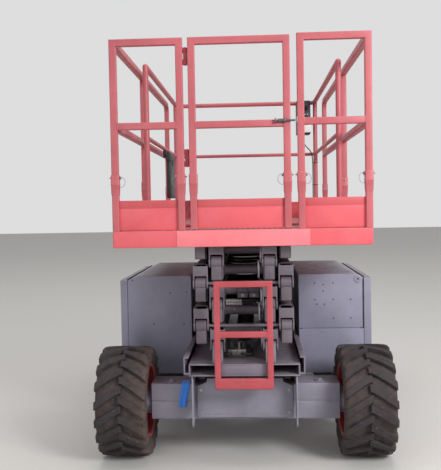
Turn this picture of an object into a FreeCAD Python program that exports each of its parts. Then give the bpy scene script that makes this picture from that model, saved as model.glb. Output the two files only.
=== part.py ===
import FreeCAD, Part
import math
import os

# Compact rough terrain scissor lift, one STEP file for each piece, parked with the platform down.
# X points right as seen from the ladder end, Y from the ladder end to the steered end, Z up.
# The origin is on the floor under the middle of the machine. Sizes are in millimetres.

V = FreeCAD.Vector

# Wheels and axles
WHEELBASE = 1990.0
TYRE_R = 330.0
TYRE_W = 305.0
TREAD_DEPTH = 26.0
SHOULDER = 16.0
SHOULDER_DROP = 26.0
SIDEWALL_FOOT = 44.0
LUGS = 18
LUG_W = 40.0
LUG_SKEW = 96.0
LUG_OVERLAP = 6.0
LUG_ROOT = 34.0
TRACK_HALF = 722.5
RIM_R = 210.0
RIM_WALL = 10.0
RIM_LIP = 12.0
RIM_LIP_W = 14.0
RIM_INSET = 12.0
DISC_OUT = 34.0
DISC_T = 12.0
DISC_DISH = 14.0
DISC_BOWL = 30.0
HUB_R = 78.0
HUB_REACH = 40.0
SPINDLE_R = 60.0
SPINDLE_REACH = 72.0
AXLE_TOP = 453.0
AXLE_BOTTOM = 237.0
AXLE_DEPTH = 200.0
AXLE_END_GAP = 5.0
AXLE_PAD_X = 452.0
AXLE_PAD_R = 32.0
AXLE_PAD_H = 8.0
KINGPIN_INSET = 162.5
KINGPIN_R = 18.0
KINGPIN_TAIL = 8.0
YOKE_HALF = 105.0
YOKE_R = 40.0
YOKE_PLATE = 30.0
YOKE_GAP = 2.0
STEER_BEAM_BACK = 90.0
STEER_BEAM_DEPTH = 140.0
STEER_ARM_X = 45.0
STEER_ARM_Y = 150.0
STEER_ARM_T = 18.0
STEER_ARM_GAP = 2.0
STEER_ARM_ROOT = 30.0
STEER_BAR_R = 16.0
STEER_BAR_GAP = 0.6
STEER_GUIDE_R = 28.0
STEER_GUIDE_HALF = 170.0
STEER_GUIDE_FOOT = 60.0
STEER_GUIDE_LAP = 10.0
STEER_EYE_R = 20.0
STEER_EYE_T = 16.0
STEER_EYE_NECK = 60.0
AXLE_SEAT = 30.0

# Chassis
FRAME_HALF = 352.0
FRAME_END = 1250.0
BOX_HALF = 322.0
BOX_BOTTOM = 533.0
BOX_TOP = 605.0
BOX_WALL = 8.0
CHANNEL_TOP = 647.0
CHANNEL_BOTTOM = 545.0
CLOSING_HALF = 135.0
HANGER_EDGE = 18.0
HANGER_T = 9.0
HANGER_ROOM = 115.0
HANGER_TAIL = 240.0
HANGER_FOOT = 224.0
HANGER_TOE = 55.0
HANGER_CORNER = 20.0
TIE_BORE_R = 20.0
TIE_BORE_BACK = 205.0
TIE_BORE_UP = 46.0
COVER_GAP = 12.5
COVER_BOTTOM = 257.0
COVER_TOP = 493.0
COVER_T = 36.0
COVER_NOTCH_X = 60.0
COVER_NOTCH_Z = 22.0
COVER_SHOULDER = 40.0

# Equipment hoods beside the stack
HOOD_IN = 357.0
HOOD_OUT = 785.0
HOOD_REAR = -605.0
HOOD_FRONT = 540.0
HOOD_BOTTOM = 400.0
HOOD_TOP = 1057.0
HOOD_BEVEL_X = 60.0
HOOD_BEVEL_Z = 26.0
HOOD_WALL = 5.0
HOOD_TAB_W = 80.0
HOOD_TAB_INSET = 120.0
HOOD_TAB_EDGE = 10.0
DOOR_FRAME_W = 30.0
DOOR_T = 48.0
DOOR_BOTTOM = 480.0
DOOR_GAP = 2.0
DOOR_HINGE_R = 9.0
DOOR_HINGE_INSET = 10.0
DOOR_HINGE_AHEAD = 12.0
DOOR_HINGE_HEIGHTS = (580.0, 930.0)
DOOR_HINGE_LENGTH = 90.0
DOOR_LEAF_W = 70.0
DOOR_LEAF_T = 8.0
ENGINE_INSET = 60.0
ENGINE_REAR = -380.0
ENGINE_FRONT = 260.0
ENGINE_TOP = 900.0
TANK_IN = 40.0
TANK_OUT = 70.0
TANK_REAR = -480.0
TANK_FRONT = 120.0
TANK_TOP = 820.0

# Ladder
LADDER_HALF = 169.0
LADDER_TUBE = 35.0
LADDER_TOP = 1087.0
LADDER_BOTTOM = 463.0
LADDER_RUNG = 780.0
LADDER_STEP = 63.0

# Scissor stack. Each arm lies flat when parked, its pins half a pitch below and above its tube.
STAGES = 5
ARM_LENGTH = 2000.0
PITCH = 126.0
PIN_REAR = -1130.0
PIN_BASE = 684.0
INNER_X = 156.0
OUTER_X = 252.0
ARM_W = 72.0
ARM_H = 100.0
ARM_WALL = 6.0
CHEEK_T = 8.0
TANG_W = 60.0
BOSS_R = 34.0
PIN_R = 19.0
PIN_FIT = 0.3
TUBE_SETBACK = 55.0
CENTRE_R = 24.0
THROUGH_R = 10.0
CROSS_R = 25.0
CROSS_REAR_R = 31.0
CROSS_INSET = 220.0
CROSS_SHIFT = 20.0
ARM_GAP = 1.0
SPACER_R = 40.0
ROLLER_R = 40.0
END_PLATE = 130.0
END_NOTCH = 20.0
END_FACE = 22.0
END_FACE_DROP = 46.0
END_CHAMFER = 12.0
CAP_T = 8.0
CAP_GAP = 44.0
LUG_FOOT = 80.0
TRACK_REAR = 150.0
TRACK_FRONT = 960.0
TRACK_W = 60.0

# Lift cylinder
BARREL_Y = -730.0
EYE_SETBACK = 100.0
EYE_DROP = 50.0
BARREL_R = 58.0
BARREL_NECK = 100.0
BARREL_SHORT = 250.0
COLLAR_R = 64.0
COLLAR_W = 40.0
ROD_R = 30.0
ROD_INSIDE = 500.0
EYE_R = 40.0
EYE_W = 70.0
EYE_GAP = 2.0
EYE_CHEEK_T = 14.0
EYE_CHEEK_R = 36.0
EYE_LUG_FOOT = 75.0

# Platform
DECK_REAR = -1250.0
DECK_FRONT = 1285.0
DECK_HALF = 747.0
DECK_TOP = 1381.0
SKIRT_BOTTOM = 1284.0
SKIRT_T = 6.0
TOE_TOP = 1558.0
TOE_T = 4.0
RAIL = 40.0
RAIL_TOP = 2481.0
RAIL_MID = 1984.0
PANEL_IN = 325.0
POST_A = -130.0
SOCKET_BOTTOM = 1585.0
SOCKET_TOP = 1706.0
SOCKET_WALL = 4.0
RIGHT_RISE = 8.0
RAIL_BEND_R = 90.0
STIFFENERS = (-1180.0, -600.0, 0.0, 1000.0)
STIFFENER_W = 40.0
STIFFENER_H = 18.0
STIFFENER_IN = 300.0
TOP_LUG_FOOT = 60.0
TOP_LUG_GAP = 6.0

# Gate in the middle of the rear rails
GATE_LEFT = -295.0
GATE_RIGHT = 286.0
HINGE_X = -310.0
HINGE_R = 12.0
HINGE_LOW_UP = 121.0
HINGE_MID_DOWN = 186.0
HINGE_TOP_DOWN = 101.0
HINGE_LENGTH = 100.0
HINGE_BACK = 20.0
HINGE_LEAF_T = 8.0
GATE_CLEAR = 9.0

# Sliding extension deck
EXT_HALF = 660.0
EXT_REAR = -600.0
EXT_FRONT = 1312.0
EXT_DECK_BOTTOM = 1386.0
EXT_DECK_TOP = 1400.0
EXT_TOE_TOP = 1548.0
EXT_RAIL_R = 19.0
EXT_MID_R = 15.0
EXT_RAIL_TOP = 2473.0
EXT_BEND_R = 90.0
WEAR_STRIP_W = 36.0
SLIDE_GAP = 0.3
CONTROL_W = 125.0
CONTROL_D = 140.0
CONTROL_H = 300.0
CONTROL_X = 590.0
CONTROL_DROP = 18.0
CONTROL_BACK = 16.0
BRACKET_T = 6.0
DOCUMENT_Y = 420.0
DOCUMENT_W = 320.0
DOCUMENT_T = 36.0
DOCUMENT_H = 350.0
DOCUMENT_TOP = 1940.0
CLIP_W = 24.0
CLIP_INSET = 40.0
CLIP_DROP = 30.0
CLIP_BACK = 6.0
CLIP_LAP = 4.0

# Worked out from the sizes above
HANGER_X = BOX_HALF - HANGER_EDGE
COVER_HALF = HANGER_X - HANGER_T / 2 - COVER_GAP
AXLE_REAR = -WHEELBASE / 2
AXLE_FRONT = WHEELBASE / 2
TYRE_IN = TRACK_HALF - TYRE_W / 2
KINGPIN_X = TRACK_HALF - KINGPIN_INSET
STEER_BEAM_HALF = KINGPIN_X - STEER_BEAM_BACK
STEER_EYE_X = KINGPIN_X - STEER_ARM_X
STEER_EYE_Y = AXLE_FRONT - STEER_ARM_Y
STEER_ARM_BOTTOM = TYRE_R + YOKE_HALF + STEER_ARM_GAP
STEER_ARM_TOP = STEER_ARM_BOTTOM + STEER_ARM_T
STEER_EYE_BOTTOM = STEER_ARM_TOP + STEER_BAR_GAP
STEER_BAR_Z = STEER_EYE_BOTTOM + STEER_BAR_R
PIN_FRONT = PIN_REAR + ARM_LENGTH
PIN_MID = (PIN_REAR + PIN_FRONT) / 2
PIN_TOP = PIN_BASE + STAGES * PITCH
EYE_Y = PIN_FRONT - EYE_SETBACK
EYE_Z = PIN_BASE + 1.5 * PITCH - EYE_DROP
CYL_LENGTH = math.hypot(EYE_Y - BARREL_Y, EYE_Z - PIN_BASE)
CYL_ANGLE = math.degrees(math.atan2(EYE_Z - PIN_BASE, EYE_Y - BARREL_Y))
BARREL_END = CYL_LENGTH - BARREL_SHORT
HOOD_DOOR_TOP = HOOD_TOP - HOOD_BEVEL_Z
DOOR_OUT = HOOD_OUT + DOOR_GAP + DOOR_T
RAIL_AXIS = DECK_HALF - RAIL / 2
POST_Y = DECK_REAR + RAIL / 2
HINGE_Y = POST_Y + HINGE_BACK
HINGE_HEIGHTS = (DECK_TOP + HINGE_LOW_UP, RAIL_MID - HINGE_MID_DOWN, RAIL_TOP - HINGE_TOP_DOWN)
EXT_RAIL_X = EXT_HALF - TOE_T - EXT_RAIL_R
EXT_RAIL_FRONT = EXT_FRONT - TOE_T - EXT_RAIL_R
EXT_RAIL_REAR = EXT_REAR + EXT_RAIL_R
CONTROL_TOP = EXT_RAIL_TOP - CONTROL_DROP
CONTROL_BOTTOM = CONTROL_TOP - CONTROL_H


def box(x, y, z):
    """Block between the pairs x, y and z."""
    shape = Part.makeBox(abs(x[1] - x[0]), abs(y[1] - y[0]), abs(z[1] - z[0]))
    shape.translate(V(min(x), min(y), min(z)))
    return shape


def rod_x(x, y, z, radius):
    """Round bar along X between the pair x."""
    return Part.makeCylinder(radius, abs(x[1] - x[0]), V(min(x), y, z), V(1, 0, 0))


def rod_y(x, y, z, radius):
    """Round bar along Y between the pair y."""
    return Part.makeCylinder(radius, abs(y[1] - y[0]), V(x, min(y), z), V(0, 1, 0))


def rod_z(x, y, z, radius):
    """Round bar along Z between the pair z."""
    return Part.makeCylinder(radius, abs(z[1] - z[0]), V(x, y, min(z)), V(0, 0, 1))


def plate_x(outline, x):
    """Flat plate with its outline in Y and Z, extruded along X between the pair x."""
    wire = Part.makePolygon([V(min(x), y, z) for y, z in outline + outline[:1]])
    return Part.Face(wire).extrude(V(abs(x[1] - x[0]), 0, 0))


def plate_y(outline, y):
    """Flat plate with its outline in X and Z, extruded along Y between the pair y."""
    wire = Part.makePolygon([V(px, min(y), pz) for px, pz in outline + outline[:1]])
    return Part.Face(wire).extrude(V(0, abs(y[1] - y[0]), 0))


def plate_z(outline, z):
    """Flat plate with its outline in X and Y, extruded along Z between the pair z."""
    wire = Part.makePolygon([V(px, py, min(z)) for px, py in outline + outline[:1]])
    return Part.Face(wire).extrude(V(0, 0, abs(z[1] - z[0])))


def fuse(shapes):
    """One solid from touching shapes."""
    first, rest = shapes[0], shapes[1:]
    return first.multiFuse(rest).removeSplitter() if rest else first


def mirror(shape):
    """The same shape on the other side of the middle plane X = 0."""
    return shape.mirror(V(0, 0, 0), V(1, 0, 0))


def both(shape):
    """The shape and its mirror image, as a list."""
    return [shape, mirror(shape)]


def save(name, shape):
    """Write one piece."""
    shape.exportStep("parts/%s.step" % name)


def tube_path(points, radius, bend):
    """Round tube along straight runs through points, joined by bends of the given radius."""
    shapes = []
    start = points[0]
    for before, corner, after in zip(points, points[1:], points[2:]):
        u = (before - corner).normalize()
        w = (after - corner).normalize()
        half = u.getAngle(w) / 2
        a = corner + u * (bend / math.tan(half))
        b = corner + w * (bend / math.tan(half))
        centre = corner + (u + w).normalize() * (bend / math.sin(half))
        disc = Part.Face(Part.Wire([Part.makeCircle(radius, a, u)]))
        shapes.append(Part.makeCylinder(radius, (a - start).Length, start, a - start))
        shapes.append(disc.revolve(centre, w.cross(u), 180 - math.degrees(2 * half)))
        start = b
    last = points[-1] - start
    shapes.append(Part.makeCylinder(radius, last.Length, start, last))
    return shapes


# Wheels

def revolve(profile, side, y):
    """Ring about the axle line at y, its profile as (distance outward from the wheel's middle, radius)."""
    wire = Part.makePolygon([V(px, 0, r) for px, r in profile + profile[:1]])
    ring = Part.Face(wire).revolve(V(0, 0, 0), V(1, 0, 0), 360)
    return place_wheel(ring, side, y)


def place_wheel(shape, side, y):
    """Set a wheel's shape, made about X at the origin, on its axle line, mirrored for the left side."""
    if side < 0:
        shape = mirror(shape)
    shape.translate(V(side * TRACK_HALF, y, TYRE_R))
    return shape


def rim(side, y):
    """Wheel rim: a barrel with a lip at each end and a dished disc on the spindle."""
    half = TYRE_W / 2 - RIM_INSET
    lip = RIM_R + RIM_LIP
    edge = RIM_LIP_W * 0.6
    inside = RIM_R - RIM_WALL
    face = DISC_OUT + DISC_T
    bowl = HUB_R + DISC_BOWL
    bore = SPINDLE_R + PIN_FIT
    profile = [
        (-half, lip), (-half + edge, lip), (-half + RIM_LIP_W, RIM_R),
        (half - RIM_LIP_W, RIM_R), (half - edge, lip), (half, lip), (half, inside),
        (face, inside), (face + DISC_DISH, bowl), (face + DISC_DISH, bore),
        (face, bore), (face, bowl), (DISC_OUT, inside - RIM_WALL),
        (DISC_OUT - DISC_T, inside), (-half, inside),
    ]
    return revolve(profile, side, y)


def tyre(side, y):
    """Tyre: a carcass of revolution and two staggered rows of slanted lugs out to the full radius."""
    half = TYRE_W / 2
    base = TYRE_R - TREAD_DEPTH
    bead = RIM_R + PIN_FIT
    seat = half - RIM_INSET - RIM_LIP_W - 4
    hook = RIM_R + RIM_LIP + 4
    profile = [
        (-seat, bead), (-seat - 7, hook), (-half, bead + SIDEWALL_FOOT), (-half, base - SHOULDER_DROP),
        (-half + SHOULDER, base), (half - SHOULDER, base), (half, base - SHOULDER_DROP),
        (half, bead + SIDEWALL_FOOT), (seat + 7, hook), (seat, bead),
    ]
    wire = Part.makePolygon([V(px, 0, r) for px, r in profile + profile[:1]])
    carcass = Part.Face(wire).revolve(V(0, 0, 0), V(1, 0, 0), 360)
    inner, outer = LUG_W / -2, LUG_W / 2
    outline = [(-LUG_OVERLAP, inner), (half, LUG_SKEW + inner), (half, LUG_SKEW + outer),
               (-LUG_OVERLAP, outer)]
    lugs = []
    for row in (1, -1):
        for k in range(LUGS):
            lug = lug_block(outline, row, base - LUG_ROOT)
            lug.rotate(V(0, 0, 0), V(1, 0, 0), 360.0 / LUGS * (k + 0.25 * row))
            lugs.append(lug)
    return place_wheel(carcass.multiFuse(lugs), side, y)


def lug_block(outline, row, foot):
    """One lug: its footprint in (across, around), each corner set round the tyre by its arc length."""
    def corner(across, around, radius):
        angle = around / TYRE_R
        return V(row * across, -radius * math.sin(angle), radius * math.cos(angle))
    low = [corner(px, py, foot) for px, py in outline]
    high = [corner(px, py, TYRE_R if px < 0 else TYRE_R - 1.0) for px, py in outline]
    corners = [(low[0], low[1], low[2]), (low[0], low[2], low[3])]
    corners += [(high[0], high[1], high[2]), (high[0], high[2], high[3])]
    for i in range(4):
        j = (i + 1) % 4
        corners += [(low[i], low[j], high[j]), (low[i], high[j], high[i])]
    faces = [Part.Face(Part.makePolygon([a, b, c, a])) for a, b, c in corners]
    solid = Part.Solid(Part.Shell(faces))
    if solid.Volume < 0:
        solid.reverse()
    return solid


# Axles and steering

def spindle(side, y, x_start):
    """Drive hub and stub on which a wheel turns."""
    hub = rod_x((side * x_start, side * (TRACK_HALF + HUB_REACH)), y, TYRE_R, HUB_R)
    stub = rod_x((side * x_start, side * (TRACK_HALF + SPINDLE_REACH)), y, TYRE_R, SPINDLE_R)
    return [hub, stub]


def rear_axle():
    """Fixed drive axle: a deep box beam with a stub at each end."""
    half = TYRE_IN - AXLE_END_GAP
    y = (AXLE_REAR - AXLE_DEPTH / 2, AXLE_REAR + AXLE_DEPTH / 2)
    shapes = [box((-half, half), y, (AXLE_BOTTOM, AXLE_TOP))]
    for side in (-1, 1):
        pad_z = (AXLE_TOP, AXLE_TOP + AXLE_PAD_H)
        shapes.append(rod_z(side * AXLE_PAD_X, y[0] + AXLE_PAD_R * 2, pad_z, AXLE_PAD_R))
        shapes += spindle(side, AXLE_REAR, half - AXLE_PAD_R)
    return fuse(shapes)


def front_axle():
    """Steered axle: a beam with a forked end at each kingpin, and the guide of the steering bar."""
    y0, y1 = AXLE_FRONT - STEER_BEAM_DEPTH / 2, AXLE_FRONT + STEER_BEAM_DEPTH / 2
    z0, z1 = TYRE_R - YOKE_HALF, TYRE_R + YOKE_HALF
    pad_half = HANGER_X + AXLE_SEAT
    foot_x, foot_y = (-STEER_GUIDE_FOOT, STEER_GUIDE_FOOT), (STEER_EYE_Y, y0 + STEER_GUIDE_LAP)
    shapes = [box((-STEER_BEAM_HALF, STEER_BEAM_HALF), (y0, y1), (z0, z1)),
              box((-pad_half, pad_half), (y0, y1), (z1, AXLE_TOP)),
              rod_x((-STEER_GUIDE_HALF, STEER_GUIDE_HALF), STEER_EYE_Y, STEER_BAR_Z, STEER_GUIDE_R),
              box(foot_x, foot_y, (z1 - YOKE_PLATE, AXLE_TOP))]
    cuts = [rod_x((-STEER_BEAM_HALF, STEER_BEAM_HALF), STEER_EYE_Y, STEER_BAR_Z, STEER_BAR_R + PIN_FIT)]
    for side in (-1, 1):
        root, end, pin = side * (STEER_BEAM_HALF - YOKE_PLATE), side * STEER_BEAM_HALF, side * KINGPIN_X
        outline = [(root, y0), (end, y0), (pin, AXLE_FRONT - YOKE_R), (pin, AXLE_FRONT + YOKE_R), (end, y1),
                   (root, y1)]
        for span in ((z0, z0 + YOKE_PLATE), (z1 - YOKE_PLATE, z1)):
            shapes += [plate_z(outline, span), rod_z(pin, AXLE_FRONT, span, YOKE_R)]
        cuts.append(rod_z(pin, AXLE_FRONT, (z0 - 1, z1 + 1), KINGPIN_R + PIN_FIT))
    return fuse(shapes).cut(Part.makeCompound(cuts))


def knuckle(side):
    """Steering knuckle: kingpin, body between the yoke plates, drive hub and steering arm."""
    x = side * KINGPIN_X
    half = YOKE_HALF - YOKE_PLATE - YOKE_GAP
    z = (TYRE_R - half, TYRE_R + half)
    arm_z = (STEER_ARM_BOTTOM, STEER_ARM_TOP)
    eye_x = side * STEER_EYE_X
    root = STEER_ARM_ROOT
    outline = [(x - root, AXLE_FRONT), (eye_x - STEER_EYE_R, STEER_EYE_Y),
               (eye_x + STEER_EYE_R, STEER_EYE_Y), (x + root, AXLE_FRONT)]
    stub_in = x + side * SPINDLE_R / 6
    return fuse([
        rod_z(x, AXLE_FRONT, z, YOKE_R - YOKE_GAP),
        rod_x((x, side * (TRACK_HALF + HUB_REACH)), AXLE_FRONT, TYRE_R, half),
        rod_x((stub_in, side * (TRACK_HALF + SPINDLE_REACH)), AXLE_FRONT, TYRE_R, SPINDLE_R),
        rod_z(x, AXLE_FRONT, (TYRE_R - YOKE_HALF - KINGPIN_TAIL, STEER_ARM_TOP), KINGPIN_R),
        plate_z(outline, arm_z),
        rod_z(x, AXLE_FRONT, arm_z, STEER_ARM_ROOT + 4),
        rod_z(eye_x, STEER_EYE_Y, arm_z, STEER_EYE_R + 2),
    ])


def steering_bar():
    """Rod that slides across the front axle and ends in a flat eye over each steering arm."""
    z = (STEER_EYE_BOTTOM, STEER_EYE_BOTTOM + STEER_EYE_T)
    reach = STEER_EYE_X
    rod_half = reach - STEER_EYE_NECK / 2
    shapes = [rod_x((-rod_half, rod_half), STEER_EYE_Y, STEER_BAR_Z, STEER_BAR_R)]
    neck = STEER_BAR_R - 2
    for side in (-1, 1):
        shapes.append(rod_z(side * reach, STEER_EYE_Y, z, STEER_EYE_R))
        neck_x = (side * (reach - STEER_EYE_NECK), side * reach)
        shapes.append(box(neck_x, (STEER_EYE_Y - neck, STEER_EYE_Y + neck), z))
    return fuse(shapes)


# Chassis frame and its fixed pieces

def frame():
    """Top plate of the chassis with the arm lugs, the roller tracks and the cylinder's foot."""
    shapes = [box((-BOX_HALF, BOX_HALF), (-FRAME_END, FRAME_END), (BOX_TOP - BOX_WALL, BOX_TOP))]
    shapes += both(lug(INNER_X, PIN_REAR))
    track = (OUTER_X - TRACK_W / 2, OUTER_X + TRACK_W / 2)
    shapes += both(box(track, (TRACK_REAR, TRACK_FRONT), (BOX_TOP, PIN_BASE - ROLLER_R)))
    for side in (-1, 1):
        x = side * (EYE_W / 2 + EYE_GAP)
        shapes.append(cylinder_lug((x, x + side * EYE_CHEEK_T)))
    return fuse(shapes)


def frame_floor():
    """Bottom plate of the chassis."""
    return box((-BOX_HALF, BOX_HALF), (-FRAME_END, FRAME_END), (BOX_BOTTOM, BOX_BOTTOM + BOX_WALL))


def channels():
    """Upright wall between the two plates on each side, with a channel outside it."""
    w = BOX_WALL
    y = (-FRAME_END, FRAME_END)
    outline = [(BOX_HALF, CHANNEL_BOTTOM), (FRAME_HALF, CHANNEL_BOTTOM), (FRAME_HALF, CHANNEL_TOP),
               (BOX_HALF, CHANNEL_TOP), (BOX_HALF, CHANNEL_TOP - w), (FRAME_HALF - w, CHANNEL_TOP - w),
               (FRAME_HALF - w, CHANNEL_BOTTOM + w), (BOX_HALF, CHANNEL_BOTTOM + w)]
    wall = box((BOX_HALF - w, BOX_HALF), y, (BOX_BOTTOM + w, BOX_TOP - w))
    return Part.makeCompound(both(fuse([plate_y(outline, y), wall])))


def frame_ends():
    """Plate that closes the middle of the chassis at each end."""
    z = (BOX_BOTTOM + BOX_WALL, BOX_TOP - BOX_WALL)
    x = (-CLOSING_HALF, CLOSING_HALF)
    return Part.makeCompound([box(x, (end * FRAME_END, end * (FRAME_END - BOX_WALL)), z) for end in (-1, 1)])


def hanger(side, end):
    """Plate under the frame that holds an axle, with a lashing eye in its tail."""
    middle = WHEELBASE / 2
    near, far, tail = middle - HANGER_ROOM, middle + HANGER_ROOM, middle + HANGER_TAIL
    outline = [(near, BOX_BOTTOM), (tail, BOX_BOTTOM), (tail, HANGER_FOOT + HANGER_CORNER),
               (tail - HANGER_CORNER, HANGER_FOOT), (tail - HANGER_TOE, HANGER_FOOT),
               (far, HANGER_FOOT + HANGER_ROOM), (far, AXLE_TOP), (near, AXLE_TOP)]
    x = (side * (HANGER_X - HANGER_T / 2), side * (HANGER_X + HANGER_T / 2))
    plate = plate_x([(end * py, pz) for py, pz in outline], x)
    bore_x = (x[0] - side, x[1] + side)
    return plate.cut(rod_x(bore_x, end * (middle + TIE_BORE_BACK), HANGER_FOOT + TIE_BORE_UP, TIE_BORE_R))


def lug(x, y):
    """Upright lug that carries the lowest inner arm."""
    span = (x - TANG_W / 2, x + TANG_W / 2)
    outline = [(y - LUG_FOOT, BOX_TOP), (y - BOSS_R, PIN_BASE),
               (y + BOSS_R, PIN_BASE), (y + LUG_FOOT, BOX_TOP)]
    shape = fuse([plate_x(outline, span), rod_x(span, y, PIN_BASE, BOSS_R)])
    return shape.cut(rod_x((span[0] - 1, span[1] + 1), y, PIN_BASE, PIN_R + PIN_FIT))


def cylinder_lug(x):
    """Cheek that carries the foot of the lift cylinder, with its pin."""
    outline = [(BARREL_Y - EYE_LUG_FOOT, BOX_TOP), (BARREL_Y - EYE_R, PIN_BASE),
               (BARREL_Y + EYE_R, PIN_BASE), (BARREL_Y + EYE_LUG_FOOT, BOX_TOP)]
    pin = rod_x((0, x[0]), BARREL_Y, PIN_BASE, PIN_R)
    return fuse([plate_x(outline, x), rod_x(x, BARREL_Y, PIN_BASE, EYE_R), pin])


def rear_cover():
    """Pressed cover behind the rear axle, its upper corners notched."""
    top, step = COVER_TOP, COVER_HALF - COVER_NOTCH_X
    right = [(COVER_HALF, COVER_BOTTOM), (COVER_HALF, top - COVER_SHOULDER),
             (step, top - COVER_NOTCH_Z), (step, top)]
    outline = right + [(-px, pz) for px, pz in reversed(right)]
    back = AXLE_REAR - AXLE_DEPTH / 2
    return plate_y(outline, (back - COVER_T, back))


def ladder():
    """Welded ladder of square tube with a deep bottom step."""
    y = (-FRAME_END - LADDER_TUBE, -FRAME_END)
    inside = LADDER_HALF - LADDER_TUBE
    shapes = [box((side * inside, side * LADDER_HALF), y, (LADDER_BOTTOM, LADDER_TOP)) for side in (-1, 1)]
    rungs = ((LADDER_TOP - LADDER_TUBE, LADDER_TOP),
             (LADDER_RUNG - LADDER_TUBE / 2, LADDER_RUNG + LADDER_TUBE / 2),
             (LADDER_BOTTOM, LADDER_BOTTOM + LADDER_STEP))
    shapes += [box((-inside, inside), y, z) for z in rungs]
    return fuse(shapes)


def hood(side):
    """Hollow equipment hood, open towards its door, with a bevelled upper edge."""
    w = HOOD_WALL
    bevel = HOOD_OUT - HOOD_BEVEL_X
    outline = [(HOOD_IN, HOOD_BOTTOM), (HOOD_OUT, HOOD_BOTTOM), (HOOD_OUT, HOOD_DOOR_TOP),
               (bevel, HOOD_TOP), (HOOD_IN, HOOD_TOP)]
    inside = [(HOOD_IN + w, HOOD_BOTTOM + w), (HOOD_OUT - w, HOOD_BOTTOM + w),
              (HOOD_OUT - w, HOOD_DOOR_TOP - w), (bevel, HOOD_TOP - w), (HOOD_IN + w, HOOD_TOP - w)]
    shell = plate_y(outline, (HOOD_REAR, HOOD_FRONT)).cut(plate_y(inside, (HOOD_REAR + w, HOOD_FRONT - w)))
    opening = box((HOOD_OUT - 2 * w, HOOD_OUT + 1), (HOOD_REAR + DOOR_FRAME_W, HOOD_FRONT - DOOR_FRAME_W),
                  (DOOR_BOTTOM + DOOR_FRAME_W, HOOD_DOOR_TOP - DOOR_FRAME_W))
    shapes = [shell.cut(opening)] + door_knuckles(False)
    tab_z = (CHANNEL_BOTTOM + HOOD_TAB_EDGE, CHANNEL_TOP - HOOD_TAB_EDGE)
    for y in (HOOD_REAR + HOOD_TAB_INSET, HOOD_FRONT - HOOD_TAB_INSET):
        shapes.append(box((FRAME_HALF, HOOD_IN), (y - HOOD_TAB_W / 2, y + HOOD_TAB_W / 2), tab_z))
    shape = fuse(shapes)
    return shape if side > 0 else mirror(shape)


def door_knuckles(on_door):
    """Hinge leaves and knuckles ahead of the door; the hood carries the outer two and the pin."""
    x, y = DOOR_OUT - DOOR_HINGE_INSET, HOOD_FRONT + DOOR_HINGE_AHEAD
    r = DOOR_HINGE_R
    third = DOOR_HINGE_LENGTH / 3
    root, edge = HOOD_OUT - DOOR_LEAF_W, HOOD_OUT - 1
    leaf = [(root, HOOD_FRONT), (edge, HOOD_FRONT), (edge, HOOD_FRONT + 3), (x - 6, HOOD_FRONT + 3), (x, y),
            (x - DOOR_LEAF_T, y), (root, HOOD_FRONT + DOOR_LEAF_T)]
    shapes = []
    for z in DOOR_HINGE_HEIGHTS:
        if on_door:
            span = (z - third / 2, z + third / 2)
            shapes += [box((x - r / 2, x + r / 2), (HOOD_FRONT - 1, y), span), rod_z(x, y, span, r)]
            continue
        for span in ((z - 1.5 * third, z - third / 2 - 1), (z + third / 2 + 1, z + 1.5 * third)):
            shapes += [plate_z(leaf, span), rod_z(x, y, span, r)]
        shapes.append(rod_z(x, y, (z - 1.5 * third, z + 1.5 * third), r / 2))
    return shapes


def door(side):
    """Hood door: a pan as thick as the whole door, hinged on its front upright."""
    w = HOOD_WALL
    x, y, z = (HOOD_OUT + DOOR_GAP, DOOR_OUT), (HOOD_REAR, HOOD_FRONT), (DOOR_BOTTOM, HOOD_DOOR_TOP)
    pan = box(x, y, z).cut(box((x[0] - 1, x[1] - w), (y[0] + w, y[1] - w), (z[0] + w, z[1] - w)))
    third = DOOR_HINGE_LENGTH / 3
    pin = (DOOR_OUT - DOOR_HINGE_INSET, HOOD_FRONT + DOOR_HINGE_AHEAD)
    bore_r = DOOR_HINGE_R / 2 + PIN_FIT
    bores = [rod_z(pin[0], pin[1], (h - third, h + third), bore_r) for h in DOOR_HINGE_HEIGHTS]
    shape = fuse([pan] + door_knuckles(True)).cut(Part.makeCompound(bores))
    return shape if side > 0 else mirror(shape)


def engine():
    """Engine and pump as one block on the floor of the right hood."""
    x = (HOOD_IN + ENGINE_INSET, HOOD_OUT - ENGINE_INSET)
    return box(x, (ENGINE_REAR, ENGINE_FRONT), (HOOD_BOTTOM + HOOD_WALL, ENGINE_TOP))


def tank():
    """Oil and fuel tank as one block on the floor of the left hood."""
    x = (-HOOD_IN - TANK_IN, -HOOD_OUT + TANK_OUT)
    return box(x, (TANK_REAR, TANK_FRONT), (HOOD_BOTTOM + HOOD_WALL, TANK_TOP))


# Scissor arms

def arm_outline(centre, pin, radius):
    """Outline in Y and Z of an end plate: from the tube out to an upright face and round its pin."""
    out = math.copysign(1, pin[0] - centre[0])
    up = math.copysign(1, pin[1] - centre[1])
    y_pin, z_pin = pin
    y_tube = y_pin - out * TUBE_SETBACK
    y_end = y_tube - out * END_PLATE
    edge = ARM_H * 0.42
    y_face = y_pin + out * END_FACE
    far = centre[1] - up * END_FACE_DROP
    return [(y_pin + out * radius, z_pin), (y_face, z_pin - up * radius * 0.76), (y_face, far + up * END_CHAMFER),
            (y_face - out * END_CHAMFER, far), (y_tube, far), (y_end, centre[1] - up * edge),
            (y_end, centre[1] + up * edge),
            (y_tube - out * END_NOTCH, centre[1] + up * ARM_H / 2),
            (y_pin - out * radius * 0.6, z_pin + up * radius * 0.8), (y_pin, z_pin + up * radius),
            (y_pin + out * radius * 0.7, z_pin + up * radius * 0.71)]


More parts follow.
